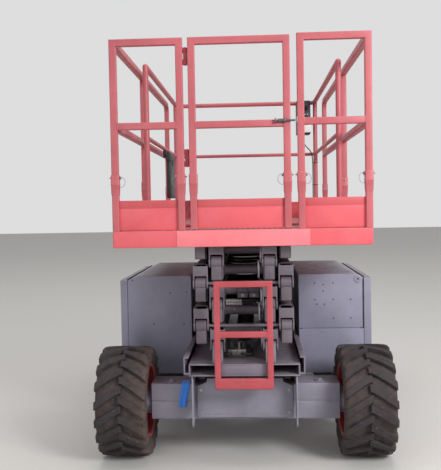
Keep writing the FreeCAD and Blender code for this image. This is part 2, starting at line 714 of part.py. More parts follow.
def arm_beam(x, centre):
    """Rectangular tube of one arm, its ends set back from the pins."""
    w = ARM_WALL
    y = (PIN_REAR + TUBE_SETBACK, PIN_FRONT - TUBE_SETBACK)
    z = (centre - ARM_H / 2, centre + ARM_H / 2)
    outer = box((x - ARM_W / 2, x + ARM_W / 2), y, z)
    inner = box((x - ARM_W / 2 + w, x + ARM_W / 2 - w), (y[0] - 1, y[1] + 1), (z[0] + w, z[1] - w))
    return outer.cut(inner)


def fork(x, centre, pin):
    """Two cheeks at an arm's low end, outside its tube, with a cap across them and the pin between them."""
    shapes = []
    for side in (-1, 1):
        face = x + side * ARM_W / 2
        span = (face, face + side * CHEEK_T)
        shapes.append(plate_x(arm_outline((PIN_MID, centre), pin, BOSS_R), span))
        shapes.append(rod_x(span, pin[0], pin[1], BOSS_R))
    half = ARM_W / 2 + CHEEK_T
    out, up = math.copysign(1, pin[0] - PIN_MID), math.copysign(1, centre - pin[1])
    y_face = pin[0] + out * END_FACE
    cap_z = (pin[1] + up * CAP_GAP, centre + up * (END_FACE_DROP - END_CHAMFER))
    shapes.append(box((x - half, x + half), (y_face - out * CAP_T, y_face), cap_z))
    shapes.append(rod_x((x - half, x + half), pin[0], pin[1], PIN_R))
    return shapes


def tang(x, centre, pin):
    """Narrow boss at an arm's high end, bored for the next arm's pin."""
    span = (x - TANG_W / 2, x + TANG_W / 2)
    return [plate_x(arm_outline((PIN_MID, centre), pin, BOSS_R), span), rod_x(span, pin[0], pin[1], BOSS_R)]


def arm(kind, stage):
    """Pair of equal arms of one stage, joined across the machine."""
    inner = kind == "inner"
    x = INNER_X if inner else OUTER_X
    half_w = ARM_W / 2
    centre = PIN_BASE + (stage - 0.5) * PITCH
    rises_forward = inner == (stage % 2 == 1)
    low_y, high_y = (PIN_REAR, PIN_FRONT) if rises_forward else (PIN_FRONT, PIN_REAR)
    low, high = (low_y, centre - PITCH / 2), (high_y, centre + PITCH / 2)
    shapes = [arm_beam(x, centre)] + fork(x, centre, low) + tang(x, centre, high)
    cuts = []
    if inner:
        shapes.append(rod_x((INNER_X - half_w, OUTER_X + half_w), PIN_MID, centre, CENTRE_R))
        shapes.append(rod_x((INNER_X + half_w, OUTER_X - half_w - ARM_GAP), PIN_MID, centre, SPACER_R))
    else:
        cuts.append(rod_x((x - ARM_W, x + ARM_W), PIN_MID, centre, CENTRE_R + PIN_FIT))
    if inner and stage == STAGES:
        shapes.append(rod_x((x - half_w, x + half_w), high[0], high[1], ROLLER_R))
    else:
        cuts.append(rod_x((x - ARM_W, x + ARM_W), high[0], high[1], PIN_R + PIN_FIT))
    if not inner and stage == 1:
        shapes.append(rod_x((x - TANG_W / 2, x + TANG_W / 2), low[0], low[1], ROLLER_R))
    half = fuse(shapes)
    if cuts:
        half = half.cut(Part.makeCompound(cuts))
    links = cross_tubes(stage, centre) if inner else [through_rod(low)]
    return fuse(both(half) + links)


def through_rod(pin):
    """Thin rod that ties the two outer arms of a stage at their lower pins."""
    reach = OUTER_X - ARM_W / 2
    return rod_x((-reach, reach), pin[0], pin[1], THROUGH_R)


def cross_tubes(stage, centre):
    """Tubes between the inner arms, shifted on the two lowest stages to clear the lift cylinder."""
    reach = INNER_X - ARM_W / 2
    rear_y, front_y = PIN_REAR + CROSS_INSET, PIN_FRONT - CROSS_INSET
    front_z = centre + {1: -CROSS_SHIFT, 2: CROSS_SHIFT}.get(stage, 0.0)
    shapes = [rod_x((-reach, reach), rear_y, centre, CROSS_REAR_R),
              rod_x((-reach, reach), front_y, front_z, CROSS_R)]
    if stage == 2:
        shapes += eye_brackets(front_y, front_z)
    return shapes


def eye_brackets(cross_y, cross_z):
    """Cheeks on a cross tube, one each side of the rod's eye, with a boss on their outer faces."""
    y, z, r = EYE_Y, EYE_Z, EYE_CHEEK_R
    outline = [(cross_y - CROSS_R, cross_z), (y - r * 0.25, z - r * 0.9), (y + r * 0.85, z),
               (y + r * 0.25, z + r * 0.9), (cross_y + CROSS_R * 0.8, cross_z + CROSS_R * 0.8)]
    shapes = []
    for side in (-1, 1):
        x = side * (EYE_W / 2 + EYE_GAP)
        span = (x, x + side * EYE_CHEEK_T)
        shapes += [plate_x(outline, span), rod_x(span, y, z, r)]
        shapes.append(rod_x((span[1], span[1] + side * CHEEK_T), y, z, PIN_R))
    return shapes


# Lift cylinder

def along_cylinder(shape):
    """Turn a shape made along Y from the barrel's pin into the parked direction of the cylinder."""
    shape.rotate(V(0, 0, 0), V(1, 0, 0), CYL_ANGLE)
    shape.translate(V(0, BARREL_Y, PIN_BASE))
    return shape


def barrel():
    """Cylinder barrel with its foot eye, bored for the rod."""
    neck = EYE_W / 2 - 2
    shape = fuse([rod_x((-EYE_W / 2, EYE_W / 2), 0, 0, EYE_R), rod_y(0, (0, BARREL_NECK), 0, neck),
                  rod_y(0, (BARREL_NECK, BARREL_END), 0, BARREL_R),
                  rod_y(0, (BARREL_END - COLLAR_W, BARREL_END), 0, COLLAR_R)])
    bores = [rod_y(0, (BARREL_NECK + COLLAR_W, BARREL_END + 1), 0, ROD_R + PIN_FIT),
             rod_x((-EYE_W, EYE_W), 0, 0, PIN_R + PIN_FIT)]
    return along_cylinder(shape.cut(Part.makeCompound(bores)))


def piston_rod():
    """Chromed rod with its eye."""
    eye = rod_x((-EYE_W / 2, EYE_W / 2), CYL_LENGTH, 0, EYE_R)
    return along_cylinder(fuse([rod_y(0, (BARREL_END - ROD_INSIDE, CYL_LENGTH - PIN_R), 0, ROD_R), eye]))


# Platform

def platform():
    """Deck plate with a folded skirt, stiffeners, roller tracks and the lugs of the top arms."""
    t = SKIRT_T
    under = DECK_TOP - t
    x, y = (-DECK_HALF, DECK_HALF), (DECK_REAR, DECK_FRONT)
    shell = box(x, y, (SKIRT_BOTTOM, DECK_TOP))
    shapes = [shell.cut(box((x[0] + t, x[1] - t), (y[0] + t, y[1] - t), (SKIRT_BOTTOM - 1, under)))]
    track = (INNER_X - ARM_W / 2, INNER_X + ARM_W / 2)
    shapes += both(box(track, (TRACK_REAR, TRACK_FRONT), (PIN_TOP + ROLLER_R, under)))
    strip = (EXT_HALF - TOE_T - WEAR_STRIP_W, EXT_HALF - TOE_T)
    shapes += both(box(strip, (EXT_REAR, DECK_FRONT - TOE_T), (DECK_TOP, EXT_DECK_BOTTOM - SLIDE_GAP)))
    for py in STIFFENERS:
        stiffener_z = (under - STIFFENER_H, under)
        shapes += both(box((STIFFENER_IN, DECK_HALF - t), (py, py + STIFFENER_W), stiffener_z))
    shapes += both(fuse(top_lug(under)))
    return fuse(shapes)


def top_lug(under):
    """Two cheeks under the deck, with the pin that the highest outer arm hangs on."""
    outline = [(PIN_REAR - TOP_LUG_FOOT, under), (PIN_REAR - BOSS_R, PIN_TOP), (PIN_REAR + BOSS_R, PIN_TOP),
               (PIN_REAR + TOP_LUG_FOOT, under)]
    face = TANG_W / 2 + TOP_LUG_GAP
    shapes = [rod_x((OUTER_X - face, OUTER_X + face), PIN_REAR, PIN_TOP, PIN_R)]
    for span in ((OUTER_X - face - CHEEK_T, OUTER_X - face), (OUTER_X + face, OUTER_X + face + CHEEK_T)):
        shapes += [plate_x(outline, span), rod_x(span, PIN_REAR, PIN_TOP, BOSS_R)]
    return shapes


def square_post(x, y, z):
    """Upright of square tube centred on x and y."""
    return box((x - RAIL / 2, x + RAIL / 2), (y - RAIL / 2, y + RAIL / 2), z)


def socket(x, y):
    """Sleeve round a post where the upper frame plugs into its stub."""
    half = RAIL / 2 + SOCKET_WALL
    return box((x - half, x + half), (y - half, y + half), (SOCKET_BOTTOM, SOCKET_TOP))


def rear_rail(side):
    """Panel of the rear rails beside the gate: two posts, two rails and a toe board."""
    half = RAIL / 2
    rise = RIGHT_RISE if side > 0 else 0.0
    posts = [side * RAIL_AXIS, side * (PANEL_IN + half)]
    shapes = []
    for px in posts:
        shapes += [square_post(px, POST_Y, (DECK_TOP, RAIL_TOP + rise)), socket(px, POST_Y)]
    for z in (RAIL_TOP + rise - half, RAIL_MID + rise):
        shapes.append(box(posts, (POST_Y - half, POST_Y + half), (z - half, z + half)))
    shapes.append(box(posts, (POST_Y - TOE_T / 2, POST_Y + TOE_T / 2), (DECK_TOP, TOE_TOP)))
    if side < 0:
        shapes += gate_knuckles(posts[1] + half, False)
    return fuse(shapes)


def gate_knuckles(x_face, on_gate):
    """Hinge leaves and knuckles on the inner side; the post carries the outer two and the pin."""
    shapes = []
    third = HINGE_LENGTH / 3
    for z in HINGE_HEIGHTS:
        spans = [(z - third / 2, z + third / 2)]
        if not on_gate:
            spans = [(z - 1.5 * third, z - third / 2 - 1), (z + third / 2 + 1, z + 1.5 * third)]
            shapes.append(rod_z(HINGE_X, HINGE_Y, (z - 1.5 * third, z + 1.5 * third), HINGE_R / 2))
        for span in spans:
            shapes.append(box((x_face, HINGE_X), (HINGE_Y - HINGE_LEAF_T, HINGE_Y), span))
            shapes.append(rod_z(HINGE_X, HINGE_Y, span, HINGE_R))
    return shapes


def gate():
    """Swing gate of square tube with a toe board, hung on the left rear panel."""
    half = RAIL / 2
    bottom = DECK_TOP + GATE_CLEAR
    posts = (GATE_LEFT + half, GATE_RIGHT - half)
    shapes = [square_post(px, POST_Y, (bottom, RAIL_TOP)) for px in posts]
    for z in (RAIL_TOP - half, RAIL_MID):
        shapes.append(box(posts, (POST_Y - half, POST_Y + half), (z - half, z + half)))
    shapes.append(box(posts, (POST_Y - TOE_T / 2, POST_Y + TOE_T / 2), (bottom, TOE_TOP)))
    shapes += gate_knuckles(GATE_LEFT, True)
    third = HINGE_LENGTH / 3
    bores = [rod_z(HINGE_X, HINGE_Y, (z - third, z + third), HINGE_R / 2 + PIN_FIT) for z in HINGE_HEIGHTS]
    return fuse(shapes).cut(Part.makeCompound(bores))


def side_rail(side):
    """Side rails: top tube bent down at the front, middle tube, posts and a toe board."""
    half = RAIL / 2
    x = side * RAIL_AXIS
    span = (x - half, x + half)
    rear, front = DECK_REAR + RAIL, DECK_FRONT
    bend_y, bend_z = front - RAIL_BEND_R, RAIL_TOP - RAIL_BEND_R
    elbow = rod_x(span, bend_y, bend_z, RAIL_BEND_R).cut(rod_x(span, bend_y, bend_z, RAIL_BEND_R - RAIL))
    elbow = elbow.common(box(span, (bend_y, front), (bend_z, RAIL_TOP)))
    shapes = [box(span, (rear, bend_y), (RAIL_TOP - RAIL, RAIL_TOP)), elbow,
              box(span, (rear, front - half), (RAIL_MID - half, RAIL_MID + half)),
              square_post(x, POST_A, (DECK_TOP, RAIL_TOP - half)),
              square_post(x, front - half, (DECK_TOP, bend_z)),
              socket(x, POST_A), socket(x, front - half)]
    toe_x = (side * (DECK_HALF - TOE_T), side * DECK_HALF)
    shapes.append(box(toe_x, (rear, front - half), (DECK_TOP, TOE_TOP)))
    return fuse(shapes)


# Extension deck

def extension_deck():
    """Sliding deck plate with toe boards on three sides."""
    y, z = (EXT_REAR, EXT_FRONT), (EXT_DECK_BOTTOM, EXT_TOE_TOP)
    shapes = [box((-EXT_HALF, EXT_HALF), y, (EXT_DECK_BOTTOM, EXT_DECK_TOP)),
              box((-EXT_HALF, EXT_HALF), (EXT_FRONT - TOE_T, EXT_FRONT), z)]
    shapes += both(box((EXT_HALF - TOE_T, EXT_HALF), y, z))
    return fuse(shapes)


def extension_rails():
    """Bent round tube rails on three sides of the sliding deck, with the control box's bracket."""
    r, x, y0, y1 = EXT_RAIL_R, EXT_RAIL_X, EXT_RAIL_REAR, EXT_RAIL_FRONT
    top = EXT_RAIL_TOP - r
    shapes = []
    for z, radius in ((top, r), (RAIL_MID, EXT_MID_R)):
        shapes += tube_path([V(-x, y0, z), V(-x, y1, z), V(x, y1, z), V(x, y0, z)], radius, EXT_BEND_R)
    for side in (-1, 1):
        for y in (y0, y1 - EXT_BEND_R):
            shapes.append(rod_z(side * x, y, (EXT_DECK_TOP, top), r))
    low = CONTROL_BOTTOM - SLIDE_GAP
    bar_x = CONTROL_X - CONTROL_W / 2
    reach = y1 - r - CONTROL_BACK - CONTROL_D * 0.8
    bracket = [(y1, RAIL_MID), (y1, low), (reach, low), (y1 - 2 * r, RAIL_MID)]
    shapes.append(plate_x(bracket, (bar_x - BRACKET_T / 2, bar_x + BRACKET_T / 2)))
    shapes.append(rod_z(bar_x, y1, (RAIL_MID, top), r * 0.6))
    return fuse(shapes)


def control_box():
    """Operator's control box behind the front extension rail, hung on it by a plate."""
    y1 = EXT_RAIL_FRONT - EXT_RAIL_R - CONTROL_BACK
    x0 = CONTROL_X - CONTROL_W
    case = box((x0, CONTROL_X), (y1 - CONTROL_D, y1), (CONTROL_BOTTOM, CONTROL_TOP))
    plate_x1 = EXT_RAIL_X - EXT_BEND_R
    plate_z = (CONTROL_TOP - CONTROL_DROP, CONTROL_TOP)
    plate = box((x0, plate_x1), (y1, y1 + CONTROL_BACK - SLIDE_GAP), plate_z)
    return fuse([case, plate])


def document_box():
    """Flat box for papers on the left extension rail."""
    x = -(EXT_RAIL_X - EXT_RAIL_R)
    y = (DOCUMENT_Y - DOCUMENT_W / 2, DOCUMENT_Y + DOCUMENT_W / 2)
    shapes = [box((x, x + DOCUMENT_T), y, (DOCUMENT_TOP - DOCUMENT_H, DOCUMENT_TOP))]
    under_rail = RAIL_MID - EXT_MID_R - SLIDE_GAP
    for clip in (y[0] + CLIP_INSET, y[1] - CLIP_INSET):
        shapes.append(box((x - EXT_RAIL_R - CLIP_BACK, x + CLIP_LAP), (clip - CLIP_W / 2, clip + CLIP_W / 2),
                          (DOCUMENT_TOP - CLIP_DROP, under_rail)))
    return fuse(shapes)


def main():
    os.makedirs("parts", exist_ok=True)
    save("frame", frame())
    save("frame_floor", frame_floor())
    save("frame_ends", frame_ends())
    save("channels", channels())
    save("rear_axle", rear_axle())
    save("front_axle", front_axle())
    save("rear_cover", rear_cover())
    save("ladder", ladder())
    save("engine", engine())
    save("tank", tank())
    for name, side in (("left", -1), ("right", 1)):
        save("hood_" + name, hood(side))
        save("door_" + name, door(side))
        save("knuckle_" + name, knuckle(side))
        save("rear_rail_" + name, rear_rail(side))
        save("side_rail_" + name, side_rail(side))
        for end, row, y in (("rear", -1, AXLE_REAR), ("front", 1, AXLE_FRONT)):
            save("hanger_%s_%s" % (end, name), hanger(side, row))
            save("rim_%s_%s" % (end, name), rim(side, y))
            save("tyre_%s_%s" % (end, name), tyre(side, y))
    save("steering_bar", steering_bar())
    for stage in range(1, STAGES + 1):
        save("inner_arm_%d" % stage, arm("inner", stage))
        save("outer_arm_%d" % stage, arm("outer", stage))
    save("lift_barrel", barrel())
    save("lift_rod", piston_rod())
    save("platform", platform())
    save("gate", gate())
    save("extension_deck", extension_deck())
    save("extension_rails", extension_rails())
    save("control_box", control_box())
    save("document_box", document_box())


main()
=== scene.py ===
"""Looks of a compact rough terrain scissor lift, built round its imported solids.

Lengths are metres, X right as seen from the ladder end, Y towards the steered end, Z up.
A shape is a triple (points, quads, caps): an array of points, an array of four corner numbers for each
face, and a few lists of corners for flat end faces. Outlines and paths are arrays of points, and a piece
is several shapes joined into one mesh.
"""
import functools
import math

import bmesh
import bpy
import numpy as np
from mathutils import Matrix


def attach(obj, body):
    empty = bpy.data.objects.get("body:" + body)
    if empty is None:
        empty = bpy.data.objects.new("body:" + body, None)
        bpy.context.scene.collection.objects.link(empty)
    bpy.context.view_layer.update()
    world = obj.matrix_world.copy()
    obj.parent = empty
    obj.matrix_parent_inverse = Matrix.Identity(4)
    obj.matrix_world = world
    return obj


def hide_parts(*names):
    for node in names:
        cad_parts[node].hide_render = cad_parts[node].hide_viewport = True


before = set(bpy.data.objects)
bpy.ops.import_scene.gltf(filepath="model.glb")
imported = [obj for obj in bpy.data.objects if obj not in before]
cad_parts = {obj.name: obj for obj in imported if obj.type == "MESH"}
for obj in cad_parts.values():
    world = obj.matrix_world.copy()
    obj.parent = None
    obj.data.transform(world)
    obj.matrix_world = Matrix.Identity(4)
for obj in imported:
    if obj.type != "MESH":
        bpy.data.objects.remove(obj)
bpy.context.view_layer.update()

# Sizes shared with the solids
AXLE_REAR, AXLE_FRONT = -0.995, 0.995
TRACK_HALF = 0.7225
TYRE_R, TYRE_HALF = 0.330, 0.1525
RIM_HALF, RIM_R, RIM_LIP, RIM_INSIDE = 0.1405, 0.210, 0.222, 0.200
LUGS, LUG_SKEW = 18, 0.096
AXLE_Z = (0.237, 0.453)
AXLE_HALF_Y, AXLE_END = 0.100, 0.565
HUB_R, SPINDLE_R = 0.078, 0.060
HANGER_X = 0.304
COVER_HALF, COVER_Z = 0.287, (0.257, 0.493)
HOOD_X, HOOD_Y, HOOD_Z = (0.357, 0.785), (-0.605, 0.540), (0.400, 1.057)
HOOD_BEVEL = (0.060, 0.026)
DOOR_X, DOOR_Z = (0.787, 0.835), (0.480, 1.031)
DOOR_HINGE = (0.825, 0.552)
LADDER_HALF, LADDER_TUBE = 0.169, 0.035
FRAME_END = 1.250
STAGES, PITCH, PIN_BASE = 5, 0.126, 0.684
PIN_REAR, PIN_FRONT = -1.130, 0.870
INNER_X, OUTER_X = 0.156, 0.252
ARM_W, ARM_H, ARM_WALL, CHEEK, TANG_W = 0.072, 0.100, 0.006, 0.008, 0.060
BOSS_R, PIN_R, CENTRE_R, CROSS_R, ROLLER_R = 0.034, 0.019, 0.024, 0.025, 0.040
PROUD = 0.0006
TREAD_PITCH = 0.032
CROSS_REAR_R, END_FACE, END_DROP, END_CORNER, CAP_GAP = 0.031, 0.022, 0.046, 0.012, 0.044
DECK_Y, DECK_HALF, DECK_TOP = (-1.250, 1.285), 0.747, 1.381
SKIRT_BOTTOM, TOE_TOP, RAIL = 1.284, 1.558, 0.040
RAIL_TOP, RAIL_MID, RISE = 2.481, 1.984, 0.008
POST_Y = DECK_Y[0] + RAIL / 2
RAIL_AXIS, PANEL_POST = 0.727, 0.345
POST_A, FRONT_BEND = -0.130, 0.090
SOCKET_Z = (1.585, 1.706)
GATE_X = (-0.295, 0.286)
GATE_BOTTOM = 1.390
HINGE_X, HINGE_Y, HINGE_R = -0.310, POST_Y + 0.020, 0.012
HINGE_HEIGHTS = (1.502, 1.798, 2.380)
HINGE_LENGTH = 0.100
EXT_X, EXT_Y, EXT_R, EXT_MID_R = 0.637, (-0.581, 1.289), 0.019, 0.015
EXT_TOP, EXT_DECK, EXT_BEND = 2.454, 1.400, 0.090
CONTROL_X, CONTROL_Y, CONTROL_Z = (0.465, 0.590), (1.114, 1.254), (2.155, 2.455)
PAPERS_Y, PAPERS_Z = (0.260, 0.580), (1.590, 1.940)


# Outlines and paths

def unit(rows):
    """Each row scaled to length one."""
    rows = np.asarray(rows, float)
    return rows / np.linalg.norm(rows, axis=-1, keepdims=True)


def circle(radius, steps=24):
    """Outline of a circle: radius times (cos, sin) of equal turns."""
    turn = np.linspace(0, 2 * math.pi, steps, endpoint=False)
    return radius * np.stack([np.cos(turn), np.sin(turn)], 1)


def rounded(width, height, radius, steps=3, middle=(0.0, 0.0)):
    """Outline of a rectangle whose corners are quarter circles, each a turn of the first one."""
    turn = np.linspace(0, math.pi / 2, steps + 1)
    quarter = radius * np.stack([np.cos(turn), np.sin(turn)], 1)
    reach = np.array([width, height]) / 2 - radius
    corners = [quarter @ np.array(spin) + reach * sign for spin, sign in (
        (((1, 0), (0, 1)), (1, 1)), (((0, 1), (-1, 0)), (-1, 1)),
        (((-1, 0), (0, -1)), (-1, -1)), (((0, -1), (1, 0)), (1, -1)))]
    return np.concatenate(corners) + np.array(middle)


def softened(points, rounds=2, closed=True):
    """Outline with its corners cut: each round puts points at a quarter and three quarters of every side."""
    points = np.asarray(points, float)
    for _ in range(rounds):
        after = np.roll(points, -1, 0)
        cut = np.stack([0.75 * points + 0.25 * after, 0.25 * points + 0.75 * after], 1)
        if closed:
            points = cut.reshape(-1, points.shape[1])
        else:
            points = np.concatenate([points[:1], cut[:-1].reshape(-1, points.shape[1]), points[-1:]])
    return points


def inset(outline, depth):
    """Outline moved inwards by a depth, each corner along the mitre of its two sides."""
    side = unit(np.roll(outline, -1, 0) - outline)
    before = np.roll(side, 1, 0)
    area = np.sum(outline[:, 0] * np.roll(outline[:, 1], -1) - outline[:, 1] * np.roll(outline[:, 0], -1))
    inward = np.stack([-(side + before)[:, 1], (side + before)[:, 0]], 1)
    reach = depth * math.copysign(1, area) / (1 + np.sum(side * before, 1))
    return outline + inward * reach[:, None]


def bent(corners, radius, steps=6):
    """Path through straight runs whose inner corners are arcs of one radius.

    Each arc is a blend of the two tangent points and the corner, by (1-t)^2, 2t(1-t) and t^2."""
    corners = np.asarray(corners, float)
    rows = [corners[:1]]
    t = np.linspace(0, 1, steps + 1)[:, None]
    for before, corner, after in zip(corners, corners[1:], corners[2:]):
        start, stop = corner + radius * unit(before - corner), corner + radius * unit(after - corner)
        rows.append((1 - t) ** 2 * start + 2 * t * (1 - t) * corner + t ** 2 * stop)
    return np.concatenate(rows + [corners[-1:]])


# Shapes

def grid(points, closed=False):
    """Skin over a grid of points (rows, columns, 3): columns wrap round, rows run along.

    Closed joins the last row to the first, and otherwise a flat cap closes each end row."""
    rows, columns = points.shape[:2]
    index = np.arange(rows * columns).reshape(rows, columns)
    low = index if closed else index[:-1]
    high = np.roll(index, -1, 0) if closed else index[1:]
    quads = np.stack([low, np.roll(low, -1, 1), np.roll(high, -1, 1), high], -1).reshape(-1, 4)
    caps = [] if closed else [index[0, ::-1].tolist(), index[-1].tolist()]
    return points.reshape(-1, 3), quads, caps


def along(outline, path, across=(0, 0, 1), closed=False):
    """Outline carried along a path in a plane, mitred where the path turns.

    The outline's second axis follows `across`, the plane's normal. Its first lies in the plane and is
    stretched by one over the cosine of half the turn."""
    path = np.asarray(path, float)
    run = unit(np.diff(path, axis=0))
    if closed:
        last = unit(path[:1] - path[-1:])
        before, after = np.concatenate([last, run]), np.concatenate([run, last])
    else:
        before, after = np.concatenate([run[:1], run]), np.concatenate([run, run[-1:]])
    across = unit(across)
    side = unit(np.cross(across, unit(before + after)))
    side = side / np.sqrt((1 + np.sum(before * after, 1)) / 2)[:, None]
    points = path[:, None] + side[:, None] * outline[None, :, :1] + across * outline[None, :, 1:]
    return grid(points, closed)


def hose(path, radius, steps=10):
    """Round tube along any path, its section turned as little as possible from one station to the next."""
    path = np.asarray(path, float)
    tangent = unit(np.gradient(path, axis=0))
    across = unit(np.cross(tangent[0], (0.31, 0.52, 0.79)))
    ring = circle(radius, steps)
    rows = []
    for place, ahead in zip(path, tangent):
        across = unit(across - ahead * np.dot(across, ahead))
        rows.append(place + ring[:, :1] * across + ring[:, 1:] * np.cross(ahead, across))
    return grid(np.stack(rows))


def turned(profile, centre, axis, steps=32, closed=False):
    """Surface of revolution: profile rows (distance along the axis, radius) turned about the axis line."""
    profile = np.asarray(profile, float)
    axis = unit(axis)
    first = unit(np.cross(axis, (0, 0, 1) if abs(axis[2]) < 0.9 else (1, 0, 0)))
    ring = circle(1.0, steps) @ np.stack([first, np.cross(axis, first)])
    points = profile[:, :1, None] * axis + profile[:, 1:, None] * ring
    return grid(np.asarray(centre, float) + points, closed)


def slab(outline, low, high, axis, edge=0.001, steps=3):
    """Flat plate across an axis, from its outline in the other two, with quarter round edges.

    A row at angle a of an edge is set in by edge (1 - sin a) and stands edge (1 - cos a) from the face."""
    turn = np.linspace(0, math.pi / 2, steps + 1)
    depth = edge * (1 - np.sin(turn))
    stand = edge * (1 - np.cos(turn))
    levels = np.concatenate([low + stand, high - stand[::-1]])
    rows = [inset(outline, d) for d in np.concatenate([depth, depth[::-1]])]
    points = np.insert(np.stack(rows), axis, levels[:, None], axis=2)
    return grid(points)


def block(low, high, edge=0.002, axis=2):
    """Rounded box between two corners, its flat caps across an axis."""
    low, high = np.asarray(low, float), np.asarray(high, float)
    size, middle = np.delete(high - low, axis), np.delete((low + high) / 2, axis)
    return slab(rounded(size[0], size[1], edge, 3, middle), low[axis], high[axis], axis, edge)


def copies(shape, places):
    """The shape at each place, as one shape."""
    points, quads, caps = shape
    places = np.asarray(places, float).reshape(-1, 3)
    shift = np.arange(len(places)) * len(points)
    moved = (points[None] + places[:, None]).reshape(-1, 3)
    quads = (quads[None] + shift[:, None, None]).reshape(-1, 4)
    return moved, quads, [[i + s for i in cap] for s in shift.tolist() for cap in caps]


def mirrored(shape):
    """The shape on the other side of X = 0."""
    points, quads, caps = shape
    return points * (-1, 1, 1), quads, caps


def joined(shapes):
    """Several shapes as one."""
    counts = [len(points) for points, _, _ in shapes]
    starts = np.cumsum([0] + counts[:-1]).tolist()
    quads = np.concatenate([quads + s for (_, quads, _), s in zip(shapes, starts)])
    caps = [[i + s for i in cap] for (_, _, caps), s in zip(shapes, starts) for cap in caps]
    return np.concatenate([points for points, _, _ in shapes]), quads, caps


def both(shapes):
    """Shapes and their mirror images."""
    return list(shapes) + [mirrored(shape) for shape in shapes]


def bolt(centre, axis, size):
    """Hexagon bolt head with a rounded crown on a washer; size is half the width across its corners."""
    washer = turned([(0, size * 1.25), (size * 0.18, size * 1.25)], centre, axis, 16)
    crown = [(size * 0.1, size), (size * 0.75, size), (size * 0.88, size * 0.84)]
    return joined([washer, turned(crown, centre, axis, 6)])


def rivet(centre, axis, size):
    """Low domed head."""
    turn = np.linspace(0, math.pi / 2 * 0.9, 4)
    return turned(np.stack([size * 0.45 * np.sin(turn), size * np.cos(turn)], 1), centre, axis, 12)


def piece(name, body, shapes, finish, replaces=(), crease=38):
    """Object that joins shapes, with its faces turned outwards, creased past an angle, on a body."""
    points, quads, caps = joined(shapes)
    mesh = bpy.data.meshes.new(name)
    mesh.from_pydata(points.tolist(), [], quads.tolist() + caps)
    work = bmesh.new()
    work.from_mesh(mesh)
    bmesh.ops.recalc_face_normals(work, faces=work.faces)
    work.to_mesh(mesh)
    work.free()
    mesh.shade_smooth()
    mesh.set_sharp_from_angle(angle=math.radians(crease))
    mesh.materials.append(finish)
    made = bpy.data.objects.new(name, mesh)
    bpy.context.scene.collection.objects.link(made)
    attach(made, body)
    if replaces:
        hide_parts(*replaces)
    return made


# Finishes. The scale of a pattern is one over its real size in metres.

# Sun fading changes over 330 mm and dirt over 60 mm. Rubbed lengths are 22 mm, scuffs 16 mm and chips 8 mm.
# Orange peel in sprayed enamel has waves of 1 to 3 mm: 2.6 mm is as coarse as it needs to be to show.
FADE = 1 / 0.33
BLOTCH = 1 / 0.060
RUB = 1 / 0.022
SCUFF = 1 / 0.016
CHIP = 1 / 0.008
PEEL = 1 / 0.0026


def colour(code):
    """Linear colour of an sRGB hex code: c / 12.92 when small, else ((c + 0.055) / 1.055) ^ 2.4."""
    parts = [int(code[i:i + 2], 16) / 255 for i in (1, 3, 5)]
    return [c / 12.92 if c <= 0.04045 else ((c + 0.055) / 1.055) ** 2.4 for c in parts] + [1.0]


def add(tree, kind, inputs=None, output=0, **settings):
    """Shader node with its settings and its linked or set inputs; gives the output socket that is asked for."""
    made = tree.nodes.new("ShaderNode" + kind)
    for key, value in settings.items():
        setattr(made, key, value)
    for key, value in (inputs or {}).items():
        if isinstance(value, bpy.types.NodeSocket):
            tree.links.new(value, made.inputs[key])
        else:
            made.inputs[key].default_value = value
    return made.outputs[output] if len(made.outputs) else made


def finish(name):
    """Empty material, and the call that adds nodes to it."""
    made = bpy.data.materials.new(name)
    made.use_nodes = True
    made.node_tree.nodes.clear()
    return made, functools.partial(add, made.node_tree)


